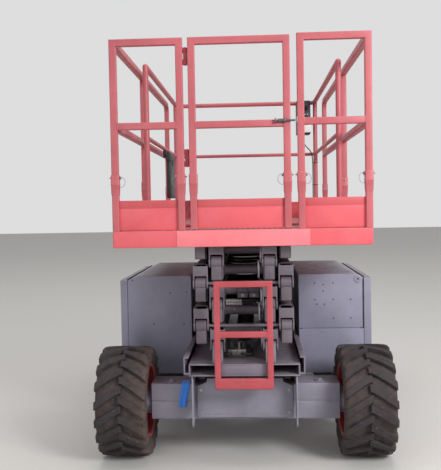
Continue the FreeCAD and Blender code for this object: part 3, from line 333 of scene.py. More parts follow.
def coat(name, base, rough, metallic=0.0, fade=None, dust=None, lying=0.3, stain_and_shade=0.0, edge=None, chip=None,
         peel=0.0):
    """Paint, plastic or metal from shared layers over a base colour.

    In order: slow fading, blotched stains, dust on faces that look up, edges rubbed where a rounded normal
    leaves the flat one, chips, and a fine bump of the coat's own texture. The blotches on the guard rails are painted
    shade, and the dust on the hoods' upward faces is grime together with painted shade of the platform."""
    made, new = finish(name)
    place = new("TexCoord", output="Object")
    facing = new("NewGeometry", output="Normal")
    blotch = new("TexNoise", {"Vector": place, "Scale": BLOTCH, "Detail": 5.0, "Roughness": 0.65})
    layers = []
    if fade:
        broad = new("TexNoise", {"Vector": place, "Scale": FADE, "Detail": 4.0, "Roughness": 0.6})
        layers.append((new("MapRange", {"Value": broad, "From Min": 0.38, "From Max": 0.64}), fade))
    # Blotches in the dust colour: stains on most finishes, painted shade on the guard rails
    if stain_and_shade:
        layers.append((new("MapRange", {"Value": blotch, "From Min": 0.52, "From Max": 0.75, "To Max": stain_and_shade}), dust))
    # Dust colour on faces that look up: dust on most finishes, on the hoods grime together with painted shade of the
    # platform
    if lying and dust:
        up = new("SeparateXYZ", {"Vector": facing}, output="Z")
        level = new("MapRange", {"Value": up, "From Min": 0.45, "From Max": 0.95, "To Max": lying})
        settled_dust_and_shade = new("MapRange", {"Value": blotch, "From Min": 0.3, "From Max": 0.62})
        layers.append((new("Math", {0: level, 1: settled_dust_and_shade}, operation="MULTIPLY"), dust))
    if edge:
        soft = new("Bevel", {"Radius": 0.004}, samples=4)
        same = new("VectorMath", {0: soft, 1: facing}, "Value", operation="DOT_PRODUCT")
        worn = new("MapRange", {"Value": same, "From Min": 0.985, "From Max": 0.90})
        rub = new("TexNoise", {"Vector": place, "Scale": RUB, "Detail": 3.0})
        hit = new("MapRange", {"Value": rub, "From Min": 0.45, "From Max": 0.62, "To Max": 0.75})
        layers.append((new("Math", {0: worn, 1: hit}, operation="MULTIPLY"), edge))
    if chip:
        speck = new("TexNoise", {"Vector": place, "Scale": CHIP, "Detail": 2.0})
        zone = new("TexNoise", {"Vector": place, "Scale": 2 * FADE, "Detail": 3.0})
        speck = new("MapRange", {"Value": speck, "From Min": 0.70, "From Max": 0.73})
        zone = new("MapRange", {"Value": zone, "From Min": 0.50, "From Max": 0.60})
        layers.append((new("Math", {0: speck, 1: zone}, operation="MULTIPLY"), chip))
    look = colour(base)
    for factor, code in layers:
        look = new("Mix", {0: factor, 6: look, 7: colour(code)}, 2, data_type="RGBA")
    inputs = {"Base Color": look, "Metallic": metallic}
    inputs["Roughness"] = new("MapRange", {"Value": blotch, "From Min": 0.3, "From Max": 0.7,
                                           "To Min": rough - 0.06, "To Max": rough + 0.08})
    if peel:
        grain = new("TexNoise", {"Vector": place, "Scale": PEEL, "Detail": 1.0})
        inputs["Normal"] = new("Bump", {"Height": grain, "Strength": peel, "Distance": 0.0006})
    new("OutputMaterial", {"Surface": new("BsdfPrincipled", inputs)})
    return made


def tyre_rubber():
    """Vulcanised rubber: near black, scuffed grey, with brown yard dust where the mesh's dust value is high."""
    made, new = finish("vulcanised_tyre_rubber")
    place = new("TexCoord", output="Object")
    dust = new("Attribute", output="Fac", attribute_name="dust")
    blotch = new("TexNoise", {"Vector": place, "Scale": 1.5 * BLOTCH, "Detail": 6.0, "Roughness": 0.7})
    scuff = new("TexNoise", {"Vector": place, "Scale": SCUFF, "Detail": 4.0, "Roughness": 0.7})
    shade = new("MapRange", {"Value": blotch, "From Min": 0.35, "From Max": 0.65})
    look = new("Mix", {0: shade, 6: colour("#2a272a"), 7: colour("#383437")}, 2, data_type="RGBA")
    patch = new("MapRange", {"Value": blotch, "From Min": 0.30, "From Max": 0.62, "To Min": 0.15})
    lying = new("Math", {0: dust, 1: patch}, operation="MULTIPLY")
    look = new("Mix", {0: lying, 6: look, 7: colour("#5e4e48")}, 2, data_type="RGBA")
    bright = new("MapRange", {"Value": scuff, "From Min": 0.62, "From Max": 0.76, "To Max": 0.6})
    look = new("Mix", {0: bright, 6: look, 7: colour("#857b79")}, 2, data_type="RGBA")
    rough = new("MapRange", {"Value": blotch, "From Min": 0.3, "From Max": 0.7, "To Min": 0.68, "To Max": 0.88})
    bump = new("Bump", {"Height": scuff, "Strength": 0.35, "Distance": 0.0015})
    new("OutputMaterial", {"Surface": new("BsdfPrincipled", {
        "Base Color": look, "Roughness": rough, "Normal": bump, "Specular IOR Level": 0.35})})
    return made


def webbing():
    """Woven polyester webbing: blue, matt, with diagonal ribs 5 mm apart, coarser than real so that they show.

    A rib is a crest of the sine of (u + v), where u and v run across and along the strap in metres."""
    made, new = finish("woven_polyester_webbing")
    across = new("Attribute", output="Vector", attribute_name="weave")
    u = new("SeparateXYZ", {"Vector": across}, "X")
    v = new("SeparateXYZ", {"Vector": across}, "Y")
    phase = new("Math", {0: new("Math", {0: u, 1: v}, operation="ADD"), 1: 2 * math.pi / 0.005}, operation="MULTIPLY")
    ribs = new("Math", {0: phase}, operation="SINE")
    shade = new("MapRange", {"Value": ribs, "From Min": -1.0, "From Max": 1.0})
    look = new("Mix", {0: shade, 6: colour("#2f7cec"), 7: colour("#5aa4ff")}, 2, data_type="RGBA")
    place = new("TexCoord", output="Object")
    soil = new("TexNoise", {"Vector": place, "Scale": RUB, "Detail": 5.0})
    soil = new("MapRange", {"Value": soil, "From Min": 0.55, "From Max": 0.75, "To Max": 0.4})
    look = new("Mix", {0: soil, 6: look, 7: colour("#4c628c")}, 2, data_type="RGBA")
    bump = new("Bump", {"Height": ribs, "Strength": 0.5, "Distance": 0.0008})
    new("OutputMaterial", {"Surface": new("BsdfPrincipled", {
        "Base Color": look, "Roughness": 0.85, "Normal": bump, "Sheen Weight": 0.3})})
    return made


# Sprayed enamel on steel, slowly faded, its pale pink partly a painted haze of light: orange peel gloss, dusty ledges,
# pale rubbed edges
RED = coat("red_machine_enamel", "#e3636b", 0.36, fade="#d95a62", dust="#b98f88", lying=0.35, stain_and_shade=0.10,
           edge="#e58b8c", chip="#7f3b3b", peel=0.18)
# The same enamel on a plate fitted later, paler and less evenly faded
RED_PLATE = coat("red_enamel_on_later_plate", "#f4828a", 0.34, fade="#ec767e", dust="#c39a94", stain_and_shade=0.08,
                 edge="#f3a3a3", peel=0.15)
# The same enamel darkened as painted shade, on a strip along the top of the toe boards
RED_PAINTED_SHADE = coat("red_enamel_painted_shade", "#cc575d", 0.48, fade="#bf4d53", dust="#9a7370", stain_and_shade=0.2,
                edge="#cf6a68", peel=0.18)
# The same enamel on guard rails, dulled by gloves and weather, with dark brown blotches of painted shade and dust on
# their tops
RAIL_RED = coat("red_enamel_on_guard_rails", "#c2636a", 0.42, fade="#b75b62", dust="#85605c", lying=0.30, stain_and_shade=0.28,
                edge="#dd9494", chip="#6d3636", peel=0.18)
# The same enamel on the ladder, scuffed darker by boots
LADDER_RED = coat("red_enamel_scuffed_by_boots", "#ba4e56", 0.44, fade="#ac444b", dust="#a8706c", lying=0.35, stain_and_shade=0.20,
                  edge="#d97f7f", chip="#5d2f2f", peel=0.2)
# Grey enamel with a violet cast on pressed hoods, finely chipped; its faces that look up are darkened by grime together
# with painted shade of the platform
GREY = coat("grey_hood_enamel", "#9897ab", 0.42, fade="#8c8c9f", dust="#6b6163", lying=0.6, stain_and_shade=0.12,
            edge="#a3a1aa", chip="#4d4648", peel=0.2)
# The same enamel on axles, frame and covers, soiled near the ground
GREY_LOW = coat("grey_axle_enamel_soiled", "#8d8a99", 0.5, fade="#807d8c", dust="#7c706a", lying=0.6, stain_and_shade=0.3,
                edge="#9c99a0", chip="#5a4640", peel=0.25)
# The same enamel on the box frame, dulled by drips of oil from the arms
FRAME_GREY = coat("grey_frame_enamel_oily", "#7d7783", 0.46, fade="#706a77", dust="#665b58", lying=0.5, stain_and_shade=0.3,
                  edge="#94909a", chip="#554843", peel=0.25)
# Grey enamel on the scissor arms under a film of old grease
ARM_GREY = coat("grey_arm_enamel_greasy", "#726a73", 0.46, fade="#665e67", dust="#544b4a", lying=0.5, stain_and_shade=0.3,
                edge="#928b94", chip="#554a46", peel=0.2)
# Red enamel of pressed rims, dulled by brake dust
RIM_RED = coat("red_rim_enamel", "#a3292f", 0.42, fade="#8d2429", dust="#6a4a45", stain_and_shade=0.25, peel=0.2)
# Hard chromium plate on a ground rod, mirror bright
CHROME = coat("hard_chrome_plate", "#c9cbd0", 0.14, metallic=1.0, fade="#bcbec4")
# Bright zinc plate on fasteners, dulled by weather
ZINC = coat("zinc_plated_steel", "#a7a5a3", 0.38, metallic=1.0, fade="#8d8a86", dust="#6f6a66", lying=0.0, stain_and_shade=0.2)
# Turned steel, bare and oily
STEEL = coat("turned_bare_steel", "#77757a", 0.4, metallic=1.0, fade="#5f5c60", dust="#45403f", lying=0.0, stain_and_shade=0.3)
# Cast iron under dull heat proof paint, rough from the sand mould
IRON = coat("painted_cast_iron", "#2b2a2c", 0.6, fade="#38363a", dust="#6b625c", peel=0.5)
# Folded steel tank with satin black powder coat
TANK = coat("powder_coated_tank", "#26272b", 0.5, fade="#2f3035", dust="#6b625c", peel=0.4)
# Injection moulded nylon and polyethylene, black and lightly grained
PLASTIC = coat("moulded_black_nylon", "#232325", 0.48, fade="#2b2a2d", dust="#5d5855", peel=0.3)
# Extruded synthetic rubber of hoses, seals and cable sheath; its black also serves as painted shade in the hoods' open
# holes
RUBBER = coat("extruded_black_rubber", "#2c2a2b", 0.62, fade="#353234", dust="#5d5855", peel=0.3)
# Hose with a grey cloth braid
BRAID = coat("braided_hose_cover", "#85808a", 0.6, fade="#75707a", peel=0.3)
# White enamelled steel plate, left blank
WHITE = coat("white_enamelled_plate", "#eceae6", 0.4, fade="#e2dfd9")
# Injection moulded nylon caps, pale grey and dull
PALE = coat("moulded_pale_nylon", "#dcd9d6", 0.5, fade="#cbc8c4", dust="#8a8580", stain_and_shade=0.15, peel=0.2)
# Injection moulded push button
BUTTON = coat("moulded_red_button", "#c3272b", 0.3, fade="#b42327")
# Enamelled steel tread plate: dull between its bars, with dust trodden in
TREAD = coat("red_enamelled_tread_plate", "#b5474d", 0.55, fade="#a34147", dust="#8d7a74", lying=0.5, stain_and_shade=0.2,
             peel=0.2)
# Bars of the tread plate, their enamel worn through to grey steel in patches
WORN = coat("worn_enamel_on_tread_bars", "#ab4d52", 0.45, fade="#9c5a5d", dust="#968d8e", lying=0.6, stain_and_shade=0.5, peel=0.1)
TYRE = tyre_rubber()
WEBBING = webbing()


# Camera, floor and lights

CAMERA_PLACE = (0.074, -5.272, 1.513)
CAMERA_YAW, CAMERA_PITCH, CAMERA_ROLL = -0.049, 0.040, -0.018
FOCAL_PIXELS, PHOTO_HEIGHT, SENSOR = 702.8, 470, 36.0


def camera():
    """Camera whose axes are the level pair turned by pitch and then by roll."""
    right = np.array([math.cos(CAMERA_YAW), -math.sin(CAMERA_YAW), 0.0])
    ahead = np.array([math.sin(CAMERA_YAW), math.cos(CAMERA_YAW), 0.0])
    up = np.array([0.0, 0.0, 1.0])
    look = math.cos(CAMERA_PITCH) * ahead - math.sin(CAMERA_PITCH) * up
    top = math.sin(CAMERA_PITCH) * ahead + math.cos(CAMERA_PITCH) * up
    side = math.cos(CAMERA_ROLL) * right + math.sin(CAMERA_ROLL) * top
    top = -math.sin(CAMERA_ROLL) * right + math.cos(CAMERA_ROLL) * top
    data = bpy.data.cameras.new("camera")
    data.sensor_width = SENSOR
    data.lens = FOCAL_PIXELS * SENSOR / PHOTO_HEIGHT
    data.clip_end = 200.0
    made = bpy.data.objects.new("camera", data)
    bpy.context.scene.collection.objects.link(made)
    rows = np.eye(4)
    rows[:3, 0], rows[:3, 1], rows[:3, 2], rows[:3, 3] = side, top, -look, CAMERA_PLACE
    made.matrix_world = Matrix(rows.tolist())
    bpy.context.scene.camera = made


def floor():
    """Plain pale painted floor."""
    made, new = finish("pale_painted_floor")
    new("OutputMaterial", {"Surface": new("BsdfPrincipled", {"Base Color": colour("#cfcdc9"), "Roughness": 0.85})})
    half = 40.0
    points = np.array([(-half, -half, 0), (half, -half, 0), (half, half, 0), (-half, half, 0)], float)
    mesh = bpy.data.meshes.new("floor")
    mesh.from_pydata(points.tolist(), [], [[0, 1, 2, 3]])
    mesh.materials.append(made)
    plane = bpy.data.objects.new("floor", mesh)
    bpy.context.scene.collection.objects.link(plane)


def lamp(name, place, target, width, height, power):
    """Soft rectangular lamp that looks at a target."""
    data = bpy.data.lights.new(name, "AREA")
    data.shape = "RECTANGLE"
    data.size, data.size_y, data.energy = width, height, power
    made = bpy.data.objects.new(name, data)
    bpy.context.scene.collection.objects.link(made)
    back = unit(np.array(place, float) - np.array(target, float))
    side = unit(np.cross((0, 0, 1), back))
    rows = np.eye(4)
    rows[:3, 0], rows[:3, 1], rows[:3, 2], rows[:3, 3] = side, np.cross(back, side), back, place
    made.matrix_world = Matrix(rows.tolist())


def lights():
    """Key lamp high on the right behind the camera, wide weak lamp on the left, soft top lamp, pale world."""
    lamp("key", (3.4, -4.6, 3.4), (0.1, 0.0, 1.1), 1.8, 1.8, 222.0)
    lamp("left_fill", (-2.6, -5.4, 2.2), (0.0, 0.0, 1.2), 2.5, 2.5, 28.0)
    lamp("top", (0.0, 0.5, 14.0), (0.0, 0.3, 0.0), 10.0, 10.0, 800.0)
    world = bpy.data.worlds.new("pale_room")
    world.use_nodes = True
    world.node_tree.nodes.clear()
    new = functools.partial(add, world.node_tree)
    seen = new("LightPath", output="Is Camera Ray")
    for ray in ("Is Glossy Ray", "Is Transmission Ray"):
        seen = new("Math", {0: seen, 1: new("LightPath", output=ray)}, operation="MAXIMUM")
    strength = new("MapRange", {"Value": seen, "To Min": 0.55, "To Max": 0.85})
    new("OutputWorld", {"Surface": new("Background", {"Color": colour("#eeeeef"), "Strength": strength})})
    bpy.context.scene.world = world
    bpy.context.scene.view_settings.view_transform = "Standard"


# Wheels

def wheel_places():
    """Name, side, axle line and body end of each wheel."""
    for end, y in (("rear", AXLE_REAR), ("front", AXLE_FRONT)):
        for name, side in (("left", -1), ("right", 1)):
            yield "%s_%s" % (end, name), side, y


def carcass():
    """Tyre body: a softened outline from bead over sidewall and shoulder to the crown, turned about X."""
    half = [(0.1225, 0.2103), (0.1300, 0.2110), (0.1310, 0.2260), (0.1450, 0.2380), (0.1475, 0.2420),
            (0.1500, 0.2500), (0.1508, 0.2650), (0.1490, 0.2830), (0.1380, 0.2980), (0.1200, 0.3030),
            (0.0700, 0.3050)]
    outline = half + [(-x, r) for x, r in reversed(half)]
    return turned(softened(outline, 2), (0, 0, 0), (1, 0, 0), 96, closed=True)


def tread_lugs():
    """Two rows of slanted lugs, each a block that runs from the middle over the shoulder.

    A station lies between a base and a top curve in (across, radius). Its section is a draughted block
    with softened upper edges, whose sideways places are arc lengths round the tyre."""
    top = softened([(-0.008, 0.3300), (0.060, 0.3300), (0.118, 0.3288), (0.149, 0.3250), (0.1523, 0.3000),
                    (0.1523, 0.2760), (0.1505, 0.2560)], 2, closed=False)
    base = softened([(-0.008, 0.2980), (0.060, 0.2980), (0.110, 0.2960), (0.128, 0.2920), (0.139, 0.2800),
                     (0.143, 0.2680), (0.145, 0.2540)], 2, closed=False)
    section = np.array([(-1.0, 0.0), (-0.94, 0.45), (-0.86, 0.90), (-0.79, 1.0), (-0.3, 1.0), (0.3, 1.0),
                        (0.79, 1.0), (0.86, 0.90), (0.94, 0.45), (1.0, 0.0)])
    across = top[:, 0].clip(0, TYRE_HALF)
    middle = LUG_SKEW * (across / TYRE_HALF) ** 1.12
    half = 0.0245 + 0.004 * across / TYRE_HALF
    place = base[:, None] + (top - base)[:, None] * section[None, :, 1:]
    arc = middle[:, None] + half[:, None] * section[None, :, 0]
    step = 2 * math.pi / LUGS
    lugs = []
    for row in (1, -1):
        for k in range(LUGS):
            angle = arc / TYRE_R + step * (k + 0.25 * row)
            x, r = row * place[..., 0], place[..., 1]
            lugs.append(grid(np.stack([x, -r * np.sin(angle), r * np.cos(angle)], -1)))
    return lugs


def sidewall_rings():
    """Low rings moulded on both sidewalls."""
    rings = []
    for side in (-1, 1):
        for radius, x in ((0.2475, 0.1494), (0.2580, 0.1507)):
            rings.append(turned(circle(0.0016, 8) + (side * x, radius), (0, 0, 0), (1, 0, 0), 72, closed=True))
    return rings


def tyre_shapes():
    """Carcass, lugs and rings of a wheel at the origin."""
    return joined([carcass()] + tread_lugs() + sidewall_rings())


def dust_on_tyre(points, side, dirty):
    """Dust for each point of a tyre: most in the grooves and on the sidewalls, more on a dirty inner shoulder."""
    radius = np.hypot(points[:, 1], points[:, 2])
    groove = np.clip((0.324 - radius) / 0.022, 0.0, 1.0)
    inner = np.clip(-side * points[:, 0] / TYRE_HALF, 0.0, 1.0)
    return (0.12 + 0.35 * groove + dirty * inner ** 2).clip(0.0, 1.0)


def wheel(name, side, y, tyre, dirty):
    """Tyre, rim, nuts and valve of one wheel, mirrored for the left side."""
    body = "wheel_" + name
    centre = np.array([side * TRACK_HALF, y, TYRE_R])

    def placed(shape):
        points, quads, caps = shape
        return points * (side, 1, 1) + centre, quads, caps

    made = piece("dressed_tyre_" + name, body, [placed(tyre)], TYRE, ("tyre_" + name,), 50)
    values = dust_on_tyre(tyre[0], 1, dirty)
    made.data.attributes.new("dust", "FLOAT", "POINT").data.foreach_set("value", values.astype(np.float32))
    rim = [(-RIM_HALF, RIM_LIP), (-0.1340, RIM_LIP), (-0.1275, RIM_R), (-0.1000, RIM_R), (-0.0900, 0.2060),
           (0.0900, 0.2060), (0.1000, RIM_R), (0.1275, RIM_R), (0.1340, RIM_LIP), (RIM_HALF, RIM_LIP),
           (RIM_HALF, 0.2120), (0.1300, RIM_INSIDE), (0.0560, 0.1960), (0.0480, 0.1800), (0.0460, 0.1500),
           (0.0560, 0.1180), (0.0600, 0.1080), (0.0600, 0.0610), (0.0460, 0.0610), (0.0450, 0.1060),
           (0.0340, 0.1500), (0.0330, 0.1900), (0.0220, 0.1960), (-0.1300, RIM_INSIDE), (-RIM_HALF, 0.2120)]
    spin = np.array(softened(rim, 1))
    ring = turned(spin, (0, 0, 0), (1, 0, 0), 72, closed=True)
    piece("dressed_rim_" + name, body, [placed(ring)], RIM_RED, ("rim_" + name,), 40)
    nut = bolt((0.0600, 0, 0), (1, 0, 0), 0.0145)
    around = circle(0.084, 8)
    nuts = [copies(nut, np.insert(around, 0, 0.0, axis=1))]
    valve = turned([(0.047, 0.005), (0.075, 0.005), (0.077, 0.0035), (0.088, 0.0035)], (0, 0.0, 0.165), (1, 0, 0), 10)
    piece("nuts_" + name, body, [placed(shape) for shape in nuts + [valve]], ZINC)


def wheels():
    """All four wheels; the rear left tyre is dusty on its inner shoulder."""
    tyre = tyre_shapes()
    for name, side, y in wheel_places():
        wheel(name, side, y, tyre, 0.9 if name == "rear_left" else 0.15)


# Axles, cover and ladder

def rear_axle():
    """Drive axle welded from two stacked channels, with hubs and pads."""
    x = (-AXLE_END, AXLE_END)
    middle = (AXLE_Z[0] + AXLE_Z[1]) / 2
    shapes = []
    for low, high in ((AXLE_Z[0], middle - 0.0012), (middle + 0.0012, AXLE_Z[1])):
        outline = rounded(2 * AXLE_HALF_Y, high - low, 0.009, 4, (AXLE_REAR, (low + high) / 2))
        shapes.append(slab(outline, x[0], x[1], 0, 0.002))
    core = rounded(2 * AXLE_HALF_Y - 0.008, 0.020, 0.002, 2, (AXLE_REAR, middle))
    shapes.append(slab(core, x[0] + 0.002, x[1] - 0.002, 0, 0.001))
    pad = [(0.0, 0.032), (0.005, 0.032), (0.008, 0.029), (0.008, 0.016), (0.012, 0.014), (0.016, 0.010)]
    hub = [(0.0, HUB_R), (0.165, HUB_R), (0.176, HUB_R), (0.178, HUB_R - 0.003), (0.180, SPINDLE_R),
           (0.222, SPINDLE_R), (0.228, SPINDLE_R - 0.006), (0.2295, 0.030)]
    for side in (-1, 1):
        shapes.append(turned(pad, (side * 0.452, AXLE_REAR - 0.036, AXLE_Z[1]), (0, 0, 1), 28))
        shapes.append(turned(hub, (side * AXLE_END, AXLE_REAR, TYRE_R), (side, 0, 0), 48))
    piece("dressed_rear_axle", "chassis", shapes, GREY_LOW, ("rear_axle",))
    bolts = []
    for side in (-1, 1):
        ring = np.insert(circle(0.042, 6), 0, 0.0, axis=1) + (side * (AXLE_END + 0.2275), AXLE_REAR, TYRE_R)
        bolts.append(copies(bolt((0, 0, 0), (side, 0, 0), 0.007), ring))
    piece("hub_bolts_rear", "chassis", bolts, ZINC)


def rear_cover():
    """Pressed cover behind the axle: notched corners, a swage along the foot, black blocks and bolts."""
    low, high = COVER_Z
    right = [(COVER_HALF, low), (COVER_HALF, high - 0.045), (COVER_HALF - 0.014, high - 0.040),
             (0.229, high - 0.022), (0.227, high)]
    outline = np.array(right + [(-x, z) for x, z in reversed(right)])
    back = AXLE_REAR - AXLE_HALF_Y
    shapes = [slab(outline, back - 0.036, back, 1, 0.005)]
    foot = bent([(-0.268, back - 0.0365, low + 0.020), (0.268, back - 0.0365, low + 0.020)], 0.002)
    shapes.append(along(circle(0.0025, 8), foot))
    piece("dressed_rear_cover", "chassis", shapes, GREY_LOW, ("rear_cover",))
    # Black blocks set in the cover's notched upper corners
    blocks = [block((side * 0.254 - 0.020, back - 0.034, 0.488), (side * 0.254 + 0.020, back - 0.004, 0.532), 0.003)
              for side in (-1, 1)]
    piece("notch_black_blocks", "chassis", blocks, RUBBER)
    places = [(side * 0.262, back - 0.036, z) for side in (-1, 1) for z in (0.425, 0.290)]
    piece("cover_bolts", "chassis", [copies(bolt((0, 0, 0), (0, -1, 0), 0.009), places)], ZINC)


def ladder():
    """Ladder of round cornered square tube with a deep bottom step and flattened weld beads."""
    y = -FRAME_END - LADDER_TUBE / 2
    inside = LADDER_HALF - LADDER_TUBE
    axis_x = LADDER_HALF - LADDER_TUBE / 2
    tube = rounded(LADDER_TUBE, LADDER_TUBE, 0.006, 4)
    low, high = 0.463, 1.087
    frame_path = [(-axis_x, y, low + 0.020), (-axis_x, y, high - LADDER_TUBE / 2), (axis_x, y, high - LADDER_TUBE / 2),
                  (axis_x, y, low + 0.020)]
    shapes = [along(tube, frame_path, (0, 1, 0))]
    shapes.append(slab(rounded(LADDER_TUBE, LADDER_TUBE, 0.006, 4, (y, 0.780)), -inside, inside, 0, 0.0005))
    step = rounded(2 * LADDER_HALF + 0.001, 0.063, 0.017, 6, (0, low + 0.0315))
    shapes.append(slab(step, y - LADDER_TUBE / 2 - 0.0005, y + LADDER_TUBE / 2 + 0.0005, 1, 0.010, 5))
    for side in (-1, 1):
        path = np.insert(rounded(LADDER_TUBE, LADDER_TUBE, 0.006, 4, (y, 0.780)), 0, side * inside, axis=1)
        shapes.append(hose(np.concatenate([path, path[:1]]), 0.0022, 6))
    piece("dressed_ladder", "chassis", shapes, LADDER_RED, ("ladder",))


STRAP_WIDTH, STRAP_THICK, STRAP_X = 0.050, 0.0030, -0.356


def strap():
    """Webbing strap laid over the rear axle, its end hanging down the rear face.

    A thin rounded outline is carried round the axle's edge. As it falls, it drifts sideways by 0.17 of the drop
    and waves: its distance from the axle follows one minus the cosine of two turns across the width, times the
    share of the drop."""
    top = AXLE_Z[1] + STRAP_THICK / 2 + 0.0003
    back = AXLE_REAR - AXLE_HALF_Y - STRAP_THICK / 2 - 0.0003
    corners = bent([(back + 0.080, top), (back, top), (back, 0.314)], 0.008, 8)
    arc = np.insert(np.cumsum(np.linalg.norm(np.diff(corners, axis=0), axis=1)), 0, 0.0)
    length = float(arc[-1])
    stations = np.linspace(0, length, 61)
    path = np.stack([np.full(61, STRAP_X), np.interp(stations, arc, corners[:, 0]), np.interp(stations, arc, corners[:, 1])], 1)
    edge = rounded(STRAP_THICK, STRAP_WIDTH, 0.0014, 3)
    columns = np.linspace(-0.5, 0.5, 15)[1:-1] * (STRAP_WIDTH - 0.003)
    right, left = edge[edge[:, 0] > 0], edge[edge[:, 0] <= 0]
    right, left = right[np.argsort(right[:, 1])], left[np.argsort(-left[:, 1])]
    half = STRAP_THICK / 2
    outline = np.concatenate([
        right[right[:, 1] < 0], np.stack([np.full(13, half), columns], 1), right[right[:, 1] > 0],
        left[left[:, 1] > 0], np.stack([np.full(13, -half), columns[::-1]], 1), left[left[:, 1] < 0]])
    points, quads, caps = along(outline, path, (1, 0, 0))
    across = points[:, 0] - STRAP_X
    weave = np.stack([across, np.repeat(stations, len(outline)), np.zeros(len(points))], 1)
    drop = np.clip(AXLE_Z[1] - points[:, 2], 0.0, None)
    points = points.copy()
    points[:, 0] -= 0.17 * drop
    points[:, 1] -= 0.045 * drop * (1 - np.cos(4 * math.pi * across / STRAP_WIDTH)) + 0.02 * drop
    made = piece("strap", "chassis", [(points, quads, caps)], WEBBING, crease=60)
    made.data.attributes.new("weave", "FLOAT_VECTOR", "POINT").data.foreach_set("vector", weave.astype(np.float32).ravel())


def steering():
    """Kingpin caps, their bolts and grease nipples over the steering arms, and gland rings on the bar's guide."""
    pin_x, arm_top, guide = 0.560, 0.455, (0.845, 0.4716)
    for name, side in (("left", -1), ("right", 1)):
        cap = [(-0.002, 0.033), (0.006, 0.033), (0.009, 0.030), (0.011, 0.020), (0.012, 0.010)]
        piece("kingpin_cap_" + name, "knuckle_" + name,
              [turned(cap, (side * pin_x, AXLE_FRONT, arm_top), (0, 0, 1), 32)], GREY_LOW)
        around = np.insert(circle(0.024, 4), 2, 0.0, axis=1) + (side * pin_x, AXLE_FRONT, arm_top + 0.0085)
        nipple = turned([(0, 0.004), (0.004, 0.004), (0.005, 0.0025), (0.010, 0.0030), (0.012, 0.0015)],
                        (side * pin_x, AXLE_FRONT, arm_top + 0.0115), (0, 0, 1), 10)
        piece("kingpin_bolts_" + name, "knuckle_" + name, [copies(bolt((0, 0, 0), (0, 0, 1), 0.0055), around), nipple],
              ZINC)
    y, z = guide
    rings = [turned([(0, 0.0275), (0.001, 0.0325), (0.014, 0.0325), (0.016, 0.030), (0.0165, 0.0172)],
                    (side * 0.1695, y, z), (side, 0, 0), 32) for side in (-1, 1)]
    piece("gland_rings", "chassis", rings, STEEL)


# Hoods and doors

HOOD_SHEET = 0.005
SEAM_Z = 0.695


def hood(name, side):
    """Sheet steel hood: bent roof and inner wall, floor, two end panels and a door surround."""
    x0, x1 = HOOD_X
    y0, y1 = HOOD_Y
    z0, z1 = HOOD_Z
    t = HOOD_SHEET
    roof_edge = (x1 - HOOD_BEVEL[0], x1)
    path = bent([(x1, 0, z1 - HOOD_BEVEL[1] - 0.03), (x1, 0, z1 - HOOD_BEVEL[1]), (roof_edge[0], 0, z1), (x0, 0, z1),
                 (x0, 0, z0), (x1, 0, z0), (x1, 0, z0 + 0.10)], 0.009, 5)
    line = path[:, [0, 2]]
    back = inset_open(line, t)
    outline = np.concatenate([line, back[::-1]])
    shapes = [slab(outline, y0 + 0.004, y1 - 0.004, 1, 0.0006, 1)]
    face = [(x0 + 0.001, z0), (x1, z0), (x1, z1 - HOOD_BEVEL[1]), (roof_edge[0], z1), (x0 + 0.001, z1)]
    front = slab(softened_corners(face, 0.008), y1 - t, y1, 1, 0.0015)
    seam = SEAM_Z if side > 0 else None
    if seam:
        upper = [(x0 + 0.001, seam + 0.0030), (x1 - 0.003, seam + 0.0030), (x1 - 0.003, z1 - HOOD_BEVEL[1]),
                 (roof_edge[0], z1), (x0 + 0.001, z1)]
        lower = [(x0 + 0.001, z0), (x1, z0), (x1, seam - 0.0020), (x0 + 0.001, seam - 0.0020)]
        rear = [slab(softened_corners(upper, 0.006), y0, y0 + t, 1, 0.0015),
                slab(softened_corners(lower, 0.006), y0, y0 + t, 1, 0.0015)]
        rear.append(slab(softened_corners([(x0 + 0.02, seam - 0.03), (x1 - 0.02, seam - 0.03),
                                           (x1 - 0.02, seam + 0.03), (x0 + 0.02, seam + 0.03)], 0.004),
                         y0 + t, y0 + 2 * t, 1, 0.0005))
    else:
        rear = [slab(softened_corners(face, 0.008), y0, y0 + t, 1, 0.0015)]
    shapes += [front] + rear
    for low, high in ((y0 + t, y0 + 0.030), (y1 - 0.030, y1 - t)):
        shapes.append(block((x1 - 2 * t, low, DOOR_Z[0]), (x1, high, DOOR_Z[1] - 0.004), 0.0015))
    shapes.append(block((x1 - 2 * t, y0 + t, DOOR_Z[0]), (x1, y1 - t, DOOR_Z[0] + 0.030), 0.0015))
    for y in (y0 + 0.120, y1 - 0.120):
        shapes.append(block((0.352, y - 0.04, 0.555), (x0, y + 0.04, 0.637), 0.001))
    shapes += hinge_shapes(False)
    if side < 0:
        shapes = [mirrored(shape) for shape in shapes]
    piece("dressed_hood_" + name, "chassis", shapes, GREY, ("hood_" + name,), 30)


def inset_open(line, depth):
    """Open line moved to its right-hand side by a depth, each inner corner along its mitre."""
    run = unit(np.diff(line, axis=0))
    before, after = np.concatenate([run[:1], run]), np.concatenate([run, run[-1:]])
    across = np.stack([-(before + after)[:, 1], (before + after)[:, 0]], 1)
    return line + across * (depth / (1 + np.sum(before * after, 1)))[:, None]


def softened_corners(corners, radius):
    """Closed outline with each corner cut to a small arc, as a blend of its tangent points and the corner."""
    corners = np.asarray(corners, float)
    before = corners + radius * unit(np.roll(corners, 1, 0) - corners)
    after = corners + radius * unit(np.roll(corners, -1, 0) - corners)
    t = np.linspace(0, 1, 4)[None, :, None]
    arcs = (1 - t) ** 2 * before[:, None] + 2 * t * (1 - t) * corners[:, None] + t ** 2 * after[:, None]
    return arcs.reshape(-1, 2)


